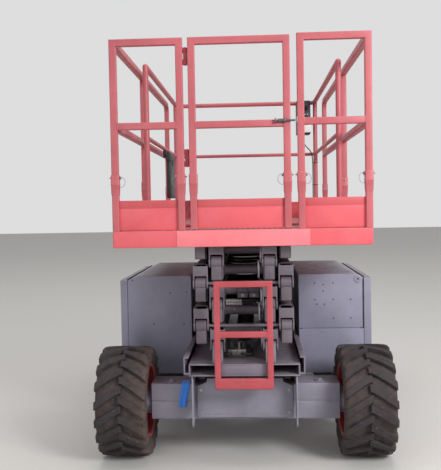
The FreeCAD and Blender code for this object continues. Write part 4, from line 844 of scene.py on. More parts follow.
def hinge_shapes(on_door):
    """Leaves and knuckles of the right door's two hinges: the hood has the outer knuckles and the pin."""
    x, y = DOOR_HINGE
    third = 0.030
    shapes = []
    for z in (0.580, 0.930):
        if on_door:
            shapes.append(turned([(-third / 2, 0.009), (third / 2, 0.009)], (x, y, z), (0, 0, 1), 20))
            shapes.append(block((x - 0.0045, HOOD_Y[1] - 0.001, z - third / 2), (x + 0.0045, y, z + third / 2), 0.001))
            continue
        for middle in (z - third - 0.0005, z + third + 0.0005):
            half = third / 2 - 0.0005
            leaf = [(0.715, 0.540), (0.784, 0.540), (0.784, 0.543), (x - 0.006, 0.543), (x, y), (x - 0.008, y),
                    (0.715, 0.548)]
            shapes.append(slab(np.array(leaf), middle - half, middle + half, 2, 0.0008))
            shapes.append(turned([(-half, 0.009), (half, 0.009)], (x, y, middle), (0, 0, 1), 20))
        shapes.append(turned([(-0.046, 0.004), (-0.045, 0.0045), (0.045, 0.0045), (0.046, 0.004)], (x, y, z),
                             (0, 0, 1), 16))
    return shapes


def door(name, side):
    """Hood door: a folded pan with rounded edges, an inner return and a recessed latch."""
    x0, x1 = DOOR_X
    y0, y1 = HOOD_Y
    z0, z1 = DOOR_Z
    outline = rounded(y1 - y0, z1 - z0, 0.008, 4, ((y0 + y1) / 2, (z0 + z1) / 2))
    inner = inset(outline, 0.005)
    skin = slab(outline, x1 - 0.005, x1, 0, 0.004)
    rim_rows = np.stack([np.insert(ring, 0, x, axis=1) for x, ring in (
        (x0, inset(outline, 0.018)), (x0, inset(outline, 0.002)), (x0 + 0.002, outline), (x1 - 0.004, outline),
        (x1 - 0.004, inner), (x0 + 0.003, inner), (x0 + 0.003, inset(outline, 0.018)))])
    shapes = [skin, grid(rim_rows, closed=True)] + hinge_shapes(True)
    latch_y, latch_z = y0 + 0.075, 0.800
    hardware = [slab(rounded(0.100, 0.130, 0.012, 4, (latch_y, latch_z)), x1 - 0.001, x1 + 0.003, 0, 0.001),
                slab(rounded(0.060, 0.085, 0.008, 4, (latch_y, latch_z - 0.010)), x1 + 0.002, x1 + 0.007, 0, 0.002),
                turned([(0.0, 0.010), (0.006, 0.010), (0.007, 0.008)], (x1 + 0.002, latch_y, latch_z + 0.048),
                       (1, 0, 0), 16)]
    if side < 0:
        shapes, hardware = [mirrored(s) for s in shapes], [mirrored(s) for s in hardware]
    piece("dressed_door_" + name, "door_" + name, shapes, GREY, ("door_" + name,), 30)
    piece("latch_" + name, "door_" + name, hardware, PLASTIC)


def hood_details():
    """Seal strips, the round lock and holes on the hoods' rear panels."""
    y = HOOD_Y[0]
    strip = bent([(0.7815, y - 0.0005, SEAM_Z), (0.7815, y - 0.0005, 1.026)], 0.002)
    seal = [along(circle(0.0030, 8), strip, (0, 1, 0))]
    roof = [(0.787, HOOD_Y[0] + 0.004, 1.036), (0.787, HOOD_Y[1] - 0.004, 1.036)]
    seal.append(along(circle(0.0035, 8), roof, (0, 0, 1)))
    seal.append(mirrored(seal[1]))
    piece("door_seals", "chassis", seal, RUBBER)
    eye = [(0.0, 0.027), (0.002, 0.027), (0.003, 0.0255), (0.003, 0.014), (0.0015, 0.013), (0.0015, 0.007)]
    piece("hood_lock", "chassis", [turned(eye, (0.748, y, 1.022), (0, -1, 0), 32)], GREY)
    right = [(0.463, 0.996), (0.520, 0.987), (0.585, 0.996), (0.520, 0.944), (0.463, 0.887), (0.477, 0.856),
             (0.526, 0.856), (0.585, 0.887), (0.700, 0.887), (0.585, 0.762), (0.700, 0.762)]
    left = [(-0.752, 1.030), (-0.500, 0.942), (-0.389, 0.948), (-0.612, 0.735), (-0.410, 0.735)]
    # Flat dark discs stand for open holes in the panels: their black is painted shade
    places = [(x, y - 0.0002, z) for x, z in right + left]
    holes = copies(turned([(0.0, 0.0048), (0.0006, 0.0048), (0.0008, 0.004)], (0, 0, 0), (0, -1, 0), 14), places)
    lock_pin = turned([(0.0, 0.0065), (0.0025, 0.0065)], (0.748, y, 1.022), (0, -1, 0), 16)
    piece("hood_hole_shade_and_lock_pin", "chassis", [holes, lock_pin], RUBBER)


# Scissor stack

def end_plate(centre, pin, radius):
    """Outline in (Y, Z) of an arm's end plate: a round nose about the pin, an upright face and a round corner."""
    out = math.copysign(1, pin[0])
    up = math.copysign(1, pin[1] - centre)
    y, z = pin
    tube_end, edge = y - out * 0.055, ARM_H * 0.42
    turn = np.linspace(-math.acos(END_FACE / radius), math.radians(105), 9)
    nose = [(y + out * radius * math.cos(a), z + up * radius * math.sin(a)) for a in turn]
    body = [(tube_end - out * 0.020, centre + up * ARM_H / 2), (tube_end - out * 0.130, centre + up * edge),
            (tube_end - out * 0.130, centre - up * edge), (tube_end, centre - up * END_DROP)]
    r = END_CORNER
    corner = [(y + out * (END_FACE - r + r * math.sin(a)), centre - up * (END_DROP - r + r * math.cos(a)))
              for a in np.linspace(0, math.pi / 2, 5)]
    return np.array(nose + body + corner)


def arm_tube(x, centre):
    """Rectangular tube with round corners, open at both ends: outer and inner outlines joined at the ends."""
    y = (PIN_REAR + 0.055, PIN_FRONT - 0.055)
    outer = rounded(ARM_W, ARM_H, 0.010, 4, (x, centre))
    inner = rounded(ARM_W - 2 * ARM_WALL, ARM_H - 2 * ARM_WALL, 0.005, 4, (x, centre))
    rows = [np.insert(ring, 1, py, axis=1) for ring, py in ((outer, y[0]), (outer, y[1]), (inner, y[1]), (inner, y[0]))]
    return grid(np.stack(rows), closed=True)


def collar(x0, x1, y, z, radius, bevel=0.003, steps=32):
    """Round boss along X with bevelled rims."""
    profile = [(0.0, radius - bevel), (bevel, radius), (x1 - x0 - bevel, radius), (x1 - x0, radius - bevel)]
    return turned(profile, (x0, y, z), (1, 0, 0), steps)


def fork(x, centre, pin):
    """Low end: two cheeks outside the tube with bosses, and a cap welded across them above the pin."""
    half = ARM_W / 2
    out, up = math.copysign(1, pin[0]), math.copysign(1, centre - pin[1])
    shapes = []
    for side in (-1, 1):
        span = sorted((x + side * half, x + side * (half + CHEEK)))
        shapes.append(slab(end_plate(centre, pin, BOSS_R), span[0], span[1], 0, 0.0015))
        shapes.append(collar(span[0] - PROUD, span[1] + PROUD, pin[0], pin[1], BOSS_R + PROUD, 0.002))
    face = sorted((pin[0] + out * (END_FACE - 0.008), pin[0] + out * (END_FACE + 0.0004)))
    low, high = sorted((pin[1] + up * CAP_GAP, centre + up * (END_DROP - END_CORNER + 0.006)))
    width = 2 * (half + CHEEK) + 0.0008
    shapes.append(slab(rounded(width, high - low, 0.007, 4, (x, (low + high) / 2)), face[0], face[1], 1, 0.002))
    return shapes


def tang(x, centre, pin):
    """High end: one thick boss between the next arm's cheeks."""
    half = TANG_W / 2
    return [slab(end_plate(centre, pin, BOSS_R), x - half, x + half, 0, 0.003),
            collar(x - half - PROUD, x + half + PROUD, pin[0], pin[1], BOSS_R + PROUD, 0.003)]


def arm(kind, stage):
    """One pair of arms with its pins, cross tubes and centre pivot."""
    inner = kind == "inner"
    x = INNER_X if inner else OUTER_X
    half = ARM_W / 2
    centre = PIN_BASE + (stage - 0.5) * PITCH
    middle = (PIN_REAR + PIN_FRONT) / 2
    forward = inner == (stage % 2 == 1)
    low_y, high_y = (PIN_REAR, PIN_FRONT) if forward else (PIN_FRONT, PIN_REAR)
    low, high = (low_y, centre - PITCH / 2), (high_y, centre + PITCH / 2)
    shapes = [arm_tube(x, centre)] + fork(x, centre, low) + tang(x, centre, high)
    pins = [collar(x - half - CHEEK - 0.0015, x + half + CHEEK + 0.0015, low[0], low[1], PIN_R, 0.003, 24)]
    if inner:
        shapes.append(collar(INNER_X + half, OUTER_X - half - 0.001, middle, centre, 0.040, 0.003))
        pins.append(collar(INNER_X - half - 0.002, OUTER_X + half + 0.0022, middle, centre, CENTRE_R, 0.003, 24))
    else:
        pad = collar(x + half, x + half + 0.0012, middle, centre, 0.042, 0.0006)
        shapes.append(pad)
    if inner and stage == STAGES:
        pins.append(collar(x - half, x + half, high[0], high[1], ROLLER_R, 0.004))
    if not inner and stage == 1:
        pins.append(collar(x - TANG_W / 2, x + TANG_W / 2, low[0], low[1], ROLLER_R, 0.004))
    shapes, pins = both(shapes), both(pins)
    name = "%s_arm_%d" % (kind, stage)
    reach = x - half
    if inner:
        shift = {1: -0.020, 2: 0.020}.get(stage, 0.0)
        for y, z, radius in ((PIN_REAR + 0.220, centre, CROSS_REAR_R), (PIN_FRONT - 0.220, centre + shift, CROSS_R)):
            shapes.append(collar(-reach, reach, y, z, radius, 0.0))
            shapes += both([collar(reach - 0.006, reach, y, z, radius + 0.004, 0.003)])
        if stage == 2:
            shapes += eye_brackets(PIN_FRONT - 0.220, centre + shift)
    else:
        pins.append(collar(-reach, reach, low[0], low[1], 0.010, 0.0, 16))
    piece("dressed_" + name, name, shapes, ARM_GREY, (name,), 35)
    piece("pins_" + name, name, pins, STEEL if kind == "inner" else ARM_GREY)


EYE = (0.770, 0.823)
EYE_CHEEK = (0.037, 0.051)


def eye_brackets(cross_y, cross_z):
    """Cheeks on a cross tube, one each side of the cylinder rod's eye, with their pin bosses."""
    y, z = EYE
    r = 0.036
    outline = np.array([(cross_y - CROSS_R, cross_z), (y - r * 0.25, z - r * 0.9), (y + r * 0.85, z),
                        (y + r * 0.25, z + r * 0.9), (cross_y + CROSS_R * 0.8, cross_z + CROSS_R * 0.8)])
    shapes = []
    for side in (-1, 1):
        span = sorted((side * EYE_CHEEK[0], side * EYE_CHEEK[1]))
        shapes += [slab(outline, span[0], span[1], 0, 0.0015),
                   collar(span[0] - PROUD, span[1] + PROUD, y, z, r + PROUD, 0.002)]
        outer = sorted((side * EYE_CHEEK[1], side * (EYE_CHEEK[1] + 0.008)))
        shapes.append(collar(outer[0], outer[1], y, z, PIN_R, 0.002, 24))
    return shapes


HOSE_X = (0.0915, 0.1045)
SWIVEL_HALF = 0.0064


def arm_hose(stage):
    """Pressure hose along a right inner arm, from pin axis to pin axis, where a swivel joins it to the next arm's.

    It runs 40 mm off the middle of the tube, away from the cross tubes, and swells out round both ends. Hoses
    of odd and even arms lie side by side, so that they pass each other as the arms turn."""
    centre = PIN_BASE + (stage - 0.5) * PITCH
    x = HOSE_X[stage % 2]
    rear_up = -1 if stage % 2 else 1
    rear, front = centre + rear_up * PITCH / 2, centre - rear_up * PITCH / 2
    level = centre - rear_up * 0.040
    points = [(PIN_REAR, rear), (PIN_REAR - 0.012, rear - rear_up * 0.012), (PIN_REAR - 0.026, rear - rear_up * 0.045),
              (PIN_REAR - 0.012, level + rear_up * 0.012), (PIN_REAR + 0.030, level), (PIN_REAR + 0.150, level),
              (-0.600, level + rear_up * 0.004), (-0.130, level), (0.350, level + rear_up * 0.004),
              (PIN_FRONT - 0.150, level), (PIN_FRONT - 0.030, level), (PIN_FRONT + 0.014, front + rear_up * 0.020),
              (PIN_FRONT, front)]
    line = softened(np.insert(np.array(points), 0, x, axis=1), 3, closed=False)
    name = "inner_arm_%d" % stage
    piece("hose_" + name, name, [hose(line, 0.0055, 10)], BRAID, crease=60)
    clips = [block((x - 0.008, y - 0.009, level - 0.008), (INNER_X - ARM_W / 2 + 0.001, y + 0.009, level + 0.008),
                   0.003, 1) for y in (-0.780, -0.330, 0.200, 0.560)]
    swivel = [(-SWIVEL_HALF, 0.0070), (0.001 - SWIVEL_HALF, 0.0085), (SWIVEL_HALF - 0.001, 0.0085), (SWIVEL_HALF, 0.0070)]
    ends = [turned(swivel, (x, y, z), (1, 0, 0), 6) for y, z in ((PIN_REAR, rear), (PIN_FRONT, front))]
    piece("clips_" + name, name, clips + ends, ZINC)


CROSS_HOSE_R = 0.0115
CROSS_HOSES = ((-0.036, 0.010), (-0.012, 0.004), (0.012, -0.007), (0.036, 0.002))


def cross_hoses(stage):
    """Rack of four hoses from one inner arm to the other at mid length, in a clamp on each.

    Each hose bows sideways and sags by a parabola: a share of one minus the square of x over the reach."""
    y, z = (PIN_REAR + PIN_FRONT) / 2, PIN_BASE + (stage - 0.5) * PITCH
    reach = INNER_X - ARM_W / 2
    x = np.linspace(-reach, reach, 15)
    bow = 1 - (x / reach) ** 2
    # The black racks also close the view through the stack, where the inside lies in shade: real hoses that partly
    # serve as painted shade
    lines = [hose(np.stack([x, y + side * bow, z + dz - 0.005 * bow], 1), CROSS_HOSE_R, 12) for dz, side in CROSS_HOSES]
    name = "inner_arm_%d" % stage
    piece("cross_hoses_%d" % stage, name, lines, RUBBER, crease=60)
    clamp = block((reach - 0.012, y - 0.017, z - 0.0485), (reach + 0.001, y + 0.017, z + 0.0485), 0.003)
    piece("cross_clamps_%d" % stage, name, both([clamp]), PLASTIC)


def valve_block():
    """Lift valves on the frame inside the ladder: drilled block, two coils, fittings and hoses to the barrel."""
    x, y, z = -0.046, -1.020, 0.605
    block_shapes = [block((x - 0.055, y - 0.040, z), (x + 0.055, y + 0.040, z + 0.046), 0.003)]
    block_shapes += [turned([(0, 0.012), (0.004, 0.012), (0.006, 0.0095), (0.012, 0.0095)], (x + dx, y - 0.040, z + 0.024),
                            (0, -1, 0), 6) for dx in (-0.034, 0.0, 0.034)]
    block_shapes.append(turned([(0, 0.015), (0.010, 0.015), (0.013, 0.011), (0.030, 0.011), (0.033, 0.014), (0.040, 0.014),
                                (0.041, 0.010)], (x + 0.012, y - 0.010, z + 0.045), (0, 0, 1), 16))
    piece("valve_block", "chassis", block_shapes, ZINC)
    coils = []
    for dx in (-0.036, 0.040):
        coils.append(turned([(0, 0.017), (0.002, 0.019), (0.034, 0.019), (0.036, 0.017), (0.0365, 0.008), (0.043, 0.008),
                             (0.044, 0.006)], (x + dx, y + 0.006, z + 0.0455), (0, 0, 1), 24))
        coils.append(block((x + dx - 0.008, y + 0.020, z + 0.056), (x + dx + 0.008, y + 0.036, z + 0.078), 0.002))
    piece("valve_coils", "chassis", coils, PLASTIC)
    lines = []
    for dx, side in ((-0.034, -1), (0.034, 1)):
        points = [(x + dx, y - 0.050, z + 0.024), (x + dx, y - 0.075, z + 0.026), (x + dx + side * 0.020, y - 0.098, z + 0.030),
                  (x + dx + side * 0.052, y - 0.070, z + 0.020), (x + dx + side * 0.060, y + 0.020, z + 0.010),
                  (x + dx + side * 0.055, y + 0.160, z + 0.0075)]
        lines.append(hose(softened(points, 3, closed=False), 0.0065, 10))
    piece("valve_hoses", "chassis", lines, RUBBER, crease=60)


def manifold():
    """Hose manifold on the second stage's rear cross tube: a block with two rows of capped hexagon ports, two
    short hoses to the right arm and a bleed nipple on the tube."""
    y, centre = PIN_REAR + 0.220, PIN_BASE + 1.5 * PITCH
    low, reach = centre + CROSS_REAR_R, INNER_X - ARM_W / 2
    cap = turned([(0, 0.0084), (0.008, 0.0084), (0.010, 0.0070), (0.016, 0.0066)], (0, 0, 0), (0, -1, 0), 6)
    places = [(-0.1065 + 0.0170 * k, y - 0.015, low + z) for k in range(6) for z in (0.009, 0.027)]
    nipple = turned([(0, 0.009), (0.008, 0.009), (0.010, 0.006), (0.020, 0.006), (0.022, 0.004)],
                    (-0.062, y - CROSS_REAR_R + 0.001, centre + 0.004), (0, -1, 0.2), 6)
    shapes = [block((-0.116, y - 0.016, low - 0.004), (-0.012, y + 0.020, low + 0.036), 0.003, 1),
              nipple]
    piece("hose_manifold", "inner_arm_2", shapes, ZINC)
    piece("manifold_caps", "inner_arm_2", [copies(cap, places)], PALE)
    hoses = []
    for z, fall in ((0.010, 0.012), (0.026, 0.004)):
        points = [(-0.014, y, low + z), (0.020, y, low + z + 0.002), (0.060, y - 0.010, low + z + 0.002),
                  (0.095, y - 0.012, low + z - fall), (reach + 0.001, y, low + z - fall)]
        hoses.append(hose(softened(points, 3, closed=False), 0.0065, 10))
    piece("manifold_hoses", "inner_arm_2", hoses, RUBBER, crease=60)


def tube_clamps():
    """Two split steel clamps round the third stage's rear cross tube, each with a bolt in its face."""
    y, z = PIN_REAR + 0.220, PIN_BASE + 2.5 * PITCH
    spans = ((-0.040, 0.024), (0.031, 0.096))
    halves = [block((x0, y - 0.040, low), (x1, y + 0.034, high), 0.004)
              for x0, x1 in spans for low, high in ((z - 0.050, z - 0.0155), (z - 0.0140, z + 0.014))]
    piece("tube_clamps", "inner_arm_3", halves, ARM_GREY)
    places = [((x0 + x1) / 2, y - 0.040, z - 0.033) for x0, x1 in spans]
    piece("clamp_bolts", "inner_arm_3", [copies(bolt((0, 0, 0), (0, -1, 0), 0.008), places)], ZINC)


def stack():
    """All ten pairs of arms, the hoses on them and the valves between them."""
    for stage in range(1, STAGES + 1):
        arm("inner", stage)
        arm("outer", stage)
        arm_hose(stage)
    for stage in range(2, STAGES + 1):
        cross_hoses(stage)
    valve_block()
    manifold()
    tube_clamps()


# Rails, gate and platform

TUBE = rounded(RAIL, RAIL, 0.0055, 4)


def upright(x, y, low, high):
    """Square tube post."""
    return slab(TUBE + (x, y), low, high, 2, 0.001)


def socket(x, y):
    """Sleeve round a post: tapered foot, upper half a little wider, with a weld ridge between them."""
    levels = [(SOCKET_Z[0], 0.0206), (SOCKET_Z[0] + 0.014, 0.0225), (SOCKET_Z[0] + 0.060, 0.0235),
              (SOCKET_Z[0] + 0.062, 0.0248), (SOCKET_Z[0] + 0.068, 0.0248), (SOCKET_Z[0] + 0.070, 0.0240),
              (SOCKET_Z[1] - 0.003, 0.0240), (SOCKET_Z[1], 0.0228)]
    rows = [np.insert(rounded(2 * half, 2 * half, 0.006, 4, (x, y)), 2, z, axis=1) for z, half in levels]
    return grid(np.stack(rows))


def snap_pin(x, y, side):
    """Zinc plated lock pin through a sleeve, with a round spring wire bail."""
    z = SOCKET_Z[1] - 0.016
    reach = 0.034
    turn = np.linspace(-0.45, math.pi + 0.45, 18)
    bail = np.stack([x + side * (reach - 0.004 + 0.026 * np.sin(turn)), np.full(18, y), z - 0.024 + 0.030 * np.cos(turn)], 1)
    return [collar(x - reach, x + reach, y, z, 0.0045, 0.001, 12),
            collar(min(x + side * 0.025, x + side * reach), max(x + side * 0.025, x + side * reach), y, z, 0.0085, 0.0015, 16),
            hose(bail, 0.0013, 6)]


def toe_board(x0, x1, y, low, high):
    """Toe board: sheet with its upper edge folded back inwards."""
    return [block((x0, y - 0.002, low), (x1, y + 0.002, high - 0.004), 0.001, 1),
            block((x0, y - 0.002, high - 0.010), (x1, y + 0.010, high), 0.0018, 1)]


def shade_strip(x0, x1, y, low, high):
    """Darker strip along the top of a toe board, on the side seen from behind: painted shade."""
    return block((x0, y - 0.0035, low), (x1, y - 0.002, high), 0.0007, 1)


def rear_rail(name, side):
    """Panel of the rear rails beside the gate."""
    rise = RISE if side > 0 else 0.0
    top, mid = RAIL_TOP + rise - RAIL / 2, RAIL_MID + rise
    posts = (side * RAIL_AXIS, side * PANEL_POST)
    y = POST_Y
    path = [(posts[0], y, DECK_TOP), (posts[0], y, top), (posts[1], y, top), (posts[1], y, DECK_TOP)]
    inner = sorted(posts)
    gap = (inner[0] + RAIL / 2 - 0.0005, inner[1] - RAIL / 2 + 0.0005)
    shapes = [along(TUBE, path, (0, 1, 0)), slab(TUBE + (y, mid), gap[0], gap[1], 0, 0.0005)]
    shapes += [socket(px, y) for px in posts]
    shapes += weld_rings(gap, y, mid)
    if side < 0:
        shapes += gate_hinges(posts[1] + RAIL / 2, False)
    piece("dressed_rear_rail_" + name, "platform", shapes, RAIL_RED, ("rear_rail_" + name,), 40)
    piece("toe_board_rear_" + name, "platform", toe_board(gap[0], gap[1], y, DECK_TOP + 0.004, TOE_TOP), RED)
    piece("toe_hem_rear_" + name, "platform", [shade_strip(gap[0] + 0.001, gap[1] - 0.001, y, TOE_TOP - 0.046, TOE_TOP - 0.0005)],
          RED_PAINTED_SHADE)
    pins = snap_pin(posts[0], y, -side) + snap_pin(posts[1], y, side)
    piece("lock_pins_rear_" + name, "platform", pins, ZINC)


def weld_rings(gap, y, z):
    """Fillet beads where a cross rail meets its two posts."""
    beads = []
    for x in gap:
        ring = rounded(RAIL + 0.001, RAIL + 0.001, 0.006, 4, (y, z))
        path = np.insert(ring, 0, x, axis=1)
        beads.append(hose(np.concatenate([path, path[:1]]), 0.0022, 6))
    return beads


def gate_hinges(face, on_gate):
    """Butt hinges between post and gate; the post has the outer knuckles and the pin."""
    third = HINGE_LENGTH / 3
    shapes = []
    for z in HINGE_HEIGHTS:
        spans = [(z - third / 2, z + third / 2)]
        if not on_gate:
            spans = [(z - 1.5 * third, z - third / 2 - 0.001), (z + third / 2 + 0.001, z + 1.5 * third)]
            shapes.append(turned([(-0.052, 0.0045), (-0.050, 0.006), (0.050, 0.006), (0.052, 0.0045)],
                                 (HINGE_X, HINGE_Y, z), (0, 0, 1), 16))
        for low, high in spans:
            shapes.append(block((min(face, HINGE_X), HINGE_Y - 0.008, low), (max(face, HINGE_X), HINGE_Y, high), 0.001))
            shapes.append(turned([(0, HINGE_R - 0.001), (0.001, HINGE_R), (high - low - 0.001, HINGE_R),
                                  (high - low, HINGE_R - 0.001)], (HINGE_X, HINGE_Y, low), (0, 0, 1), 20))
    return shapes


def gate():
    """Gate of square tube with a toe board, hinges and a spring latch on its middle rail."""
    y, top = POST_Y, RAIL_TOP - RAIL / 2
    posts = (GATE_X[0] + RAIL / 2, GATE_X[1] - RAIL / 2)
    path = [(posts[0], y, GATE_BOTTOM), (posts[0], y, top), (posts[1], y, top), (posts[1], y, GATE_BOTTOM)]
    gap = (posts[0] + RAIL / 2 - 0.0005, posts[1] - RAIL / 2 + 0.0005)
    shapes = [along(TUBE, path, (0, 1, 0)), slab(TUBE + (y, RAIL_MID), gap[0], gap[1], 0, 0.0005)]
    shapes += weld_rings(gap, y, RAIL_MID) + gate_hinges(GATE_X[0], True) + [socket(px, y) for px in posts]
    piece("dressed_gate", "gate", shapes, RAIL_RED, ("gate",), 40)
    piece("toe_board_gate", "gate", toe_board(gap[0], gap[1], y, GATE_BOTTOM, TOE_TOP), RED)
    piece("toe_shade_strip_gate", "gate", [shade_strip(gap[0] + 0.001, gap[1] - 0.001, y, TOE_TOP - 0.046, TOE_TOP - 0.0005)], RED_PAINTED_SHADE)
    z = RAIL_MID + 0.012
    back = y - RAIL / 2
    latch = [collar(0.205, 0.312, back - 0.011, z, 0.006, 0.001, 14), collar(0.212, 0.240, back - 0.011, z, 0.011, 0.003, 18),
             block((0.196, back - 0.019, z - 0.014), (0.204, back, z + 0.014), 0.001),
             block((0.250, back - 0.019, z - 0.014), (0.256, back, z + 0.014), 0.001),
             hose(spring_path(0.213, 0.249, back - 0.011, z), 0.0012, 6)]
    piece("gate_latch", "gate", latch, STEEL)
    piece("lock_pins_gate", "gate", snap_pin(posts[1], y, -1), ZINC)
    keeper = [block((0.3195, back - 0.020, z - 0.018), (0.3245, back + 0.004, z + 0.018), 0.001)]
    piece("latch_keeper", "platform", keeper, ZINC)


def spring_path(x0, x1, y, z):
    """Coil of eight turns along X: radius 9 mm, each turn an equal advance."""
    t = np.linspace(0, 1, 8 * 12)
    turn = 2 * math.pi * 8 * t
    return np.stack([x0 + (x1 - x0) * t, y + 0.009 * np.cos(turn), z + 0.009 * np.sin(turn)], 1)


def side_rail(name, side):
    """Side rails: top tube bent down at the front, middle tube, posts, sleeves and toe board."""
    x = side * RAIL_AXIS
    rear, front = DECK_Y[0] + RAIL, DECK_Y[1] - RAIL / 2
    top = RAIL_TOP - RAIL / 2
    path = bent([(x, rear, top), (x, front, top), (x, front, DECK_TOP)], FRONT_BEND - RAIL / 2 + 0.010, 10)
    shapes = [along(TUBE, path, (1, 0, 0)), upright(x, POST_A, DECK_TOP, top - RAIL / 2 + PROUD)]
    for low, high in ((rear, POST_A - RAIL / 2), (POST_A + RAIL / 2, front - RAIL / 2)):
        shapes.append(slab(TUBE + (x, RAIL_MID), low - PROUD, high + PROUD, 1, 0.0003))
    shapes += [socket(x, POST_A), socket(x, front)]
    toe_x = sorted((side * (DECK_HALF - 0.004), side * (DECK_HALF + PROUD)))
    hem_x = sorted((side * (DECK_HALF - 0.014), side * (DECK_HALF + PROUD)))
    piece("dressed_side_rail_" + name, "platform", shapes, RAIL_RED, ("side_rail_" + name,), 40)
    board = [block((toe_x[0], rear, DECK_TOP), (toe_x[1], front + RAIL / 2, TOE_TOP - 0.004), 0.0005, 0)]
    for low, high in ((rear, POST_A - RAIL / 2), (POST_A + RAIL / 2, front - RAIL / 2)):
        board.append(block((hem_x[0], low, TOE_TOP - 0.010), (hem_x[1], high, TOE_TOP), 0.0018, 0))
    piece("toe_board_side_" + name, "platform", board, RED)
    pins = []
    for y in (POST_A, front):
        z = SOCKET_Z[1] - 0.016
        pins.append(turned([(-0.034, 0.0035), (-0.033, 0.0045), (0.033, 0.0045), (0.034, 0.0035)], (x, y, z), (0, 1, 0), 12))
        turn = np.linspace(-0.45, math.pi + 0.45, 18)
        bail = np.stack([np.full(18, x), y + 0.030 + 0.026 * np.sin(turn), z - 0.024 + 0.030 * np.cos(turn)], 1)
        pins.append(hose(bail, 0.0013, 6))
    piece("lock_pins_side_" + name, "platform", pins, ZINC)


def tread_bars(x0, x1, y0, y1, z):
    """Raised bars of a tread plate in two directions by turns, each a low six sided frustum.

    The bars stand on a square lattice, and a bar whose row and column add up to an odd number lies across."""
    outline = np.array([(-0.013, 0), (-0.006, -0.0035), (0.006, -0.0035), (0.013, 0), (0.006, 0.0035), (-0.006, 0.0035)])
    rows, columns = int((y1 - y0) / TREAD_PITCH) + 1, int((x1 - x0) / TREAD_PITCH) + 1
    row, column = np.divmod(np.arange(rows * columns), columns)
    places = np.stack([x0 + TREAD_PITCH * column, y0 + TREAD_PITCH * row, np.full(len(row), z)], 1)
    shapes = []
    for odd in (0, 1):
        turn = np.array(((1, 1), (-1, 1))) / math.sqrt(2) if odd else np.array(((1, -1), (1, 1))) / math.sqrt(2)
        base, top = outline @ turn, outline @ turn * (0.72, 0.72)
        bar = grid(np.stack([np.insert(base, 2, 0.0, axis=1), np.insert(top, 2, 0.0014, axis=1)]))
        shapes.append(copies(bar, places[(row + column) % 2 == odd]))
    return shapes


def platform():
    """Deck with a folded skirt carried round its edge, stiffeners, roller tracks and the top arms' lugs."""
    x, (y0, y1) = DECK_HALF, DECK_Y
    t = 0.006
    drop = DECK_TOP - SKIRT_BOTTOM
    corner = 0.010
    path = bent([(x, (y0 + y1) / 2, 0), (x, y1, 0), (-x, y1, 0), (-x, y0, 0), (x, y0, 0), (x, (y0 + y1) / 2, 0)],
                corner, 4)[:-1]
    path[:, 2] = DECK_TOP
    fold = bent([(-0.050, 0.0), (0.0, 0.0), (0.0, -drop), (-0.018, -drop)], 0.006, 4)
    profile = np.concatenate([fold, inset_open(fold, -t)[::-1]])
    profile[:, 0] *= -1
    shapes = [along(profile, path, (0, 0, 1), closed=True)]
    under = DECK_TOP - t
    shapes.append(slab(rounded(2 * x - 0.080, y1 - y0 - 0.080, 0.004, 2, (0, (y0 + y1) / 2)), under, DECK_TOP - 0.0003, 2,
                       0.0003, 1))
    track = (INNER_X - ARM_W / 2, INNER_X + ARM_W / 2)
    roller_top = PIN_BASE + STAGES * PITCH + ROLLER_R
    tracks = [block((track[0], 0.150, roller_top), (track[1], 0.960, under), 0.001)]
    for y in (-1.180, -0.600, 0.000, 1.000):
        tracks.append(block((0.300, y, under - 0.018), (x - t, y + 0.040, under), 0.001))
    tracks.append(block((0.620, -0.600, DECK_TOP), (0.656, y1 - 0.004, 1.3857), 0.0008))
    pin_z = PIN_BASE + STAGES * PITCH
    cheek = np.array([(PIN_REAR - 0.060, under), (PIN_REAR - BOSS_R, pin_z), (PIN_REAR + BOSS_R, pin_z),
                      (PIN_REAR + 0.060, under)])
    face = TANG_W / 2 + 0.006
    for low, high in ((OUTER_X - face - CHEEK, OUTER_X - face), (OUTER_X + face, OUTER_X + face + CHEEK)):
        tracks += [slab(cheek, low, high, 0, 0.001),
                   collar(low - PROUD, high + PROUD, PIN_REAR, pin_z, BOSS_R + PROUD, 0.002)]
    tracks.append(collar(OUTER_X - face - CHEEK - 0.001, OUTER_X + face + CHEEK + 0.001, PIN_REAR, pin_z, PIN_R, 0.002, 24))
    piece("dressed_platform", "platform", shapes + both(tracks), RED, ("platform",), 35)
    deck = slab(rounded(2 * x - 0.060, 0.560, 0.004, 2, (0, y0 + 0.325)), DECK_TOP - 0.0001, DECK_TOP + 0.0012, 2, 0.0006, 1)
    piece("deck_tread", "platform", [deck], TREAD)
    piece("deck_tread_bars", "platform", tread_bars(-x + 0.045, x - 0.045, y0 + 0.060, y0 + 0.590, DECK_TOP + 0.0011),
          WORN)
    overlay = slab(rounded(0.763, drop - 0.004, 0.003, 3, (0.0065, (DECK_TOP + SKIRT_BOTTOM) / 2)), y0 - 0.0025, y0, 1,
                   0.001)
    piece("skirt_centre_plate", "platform", [overlay], RED_PLATE)


# Sliding extension

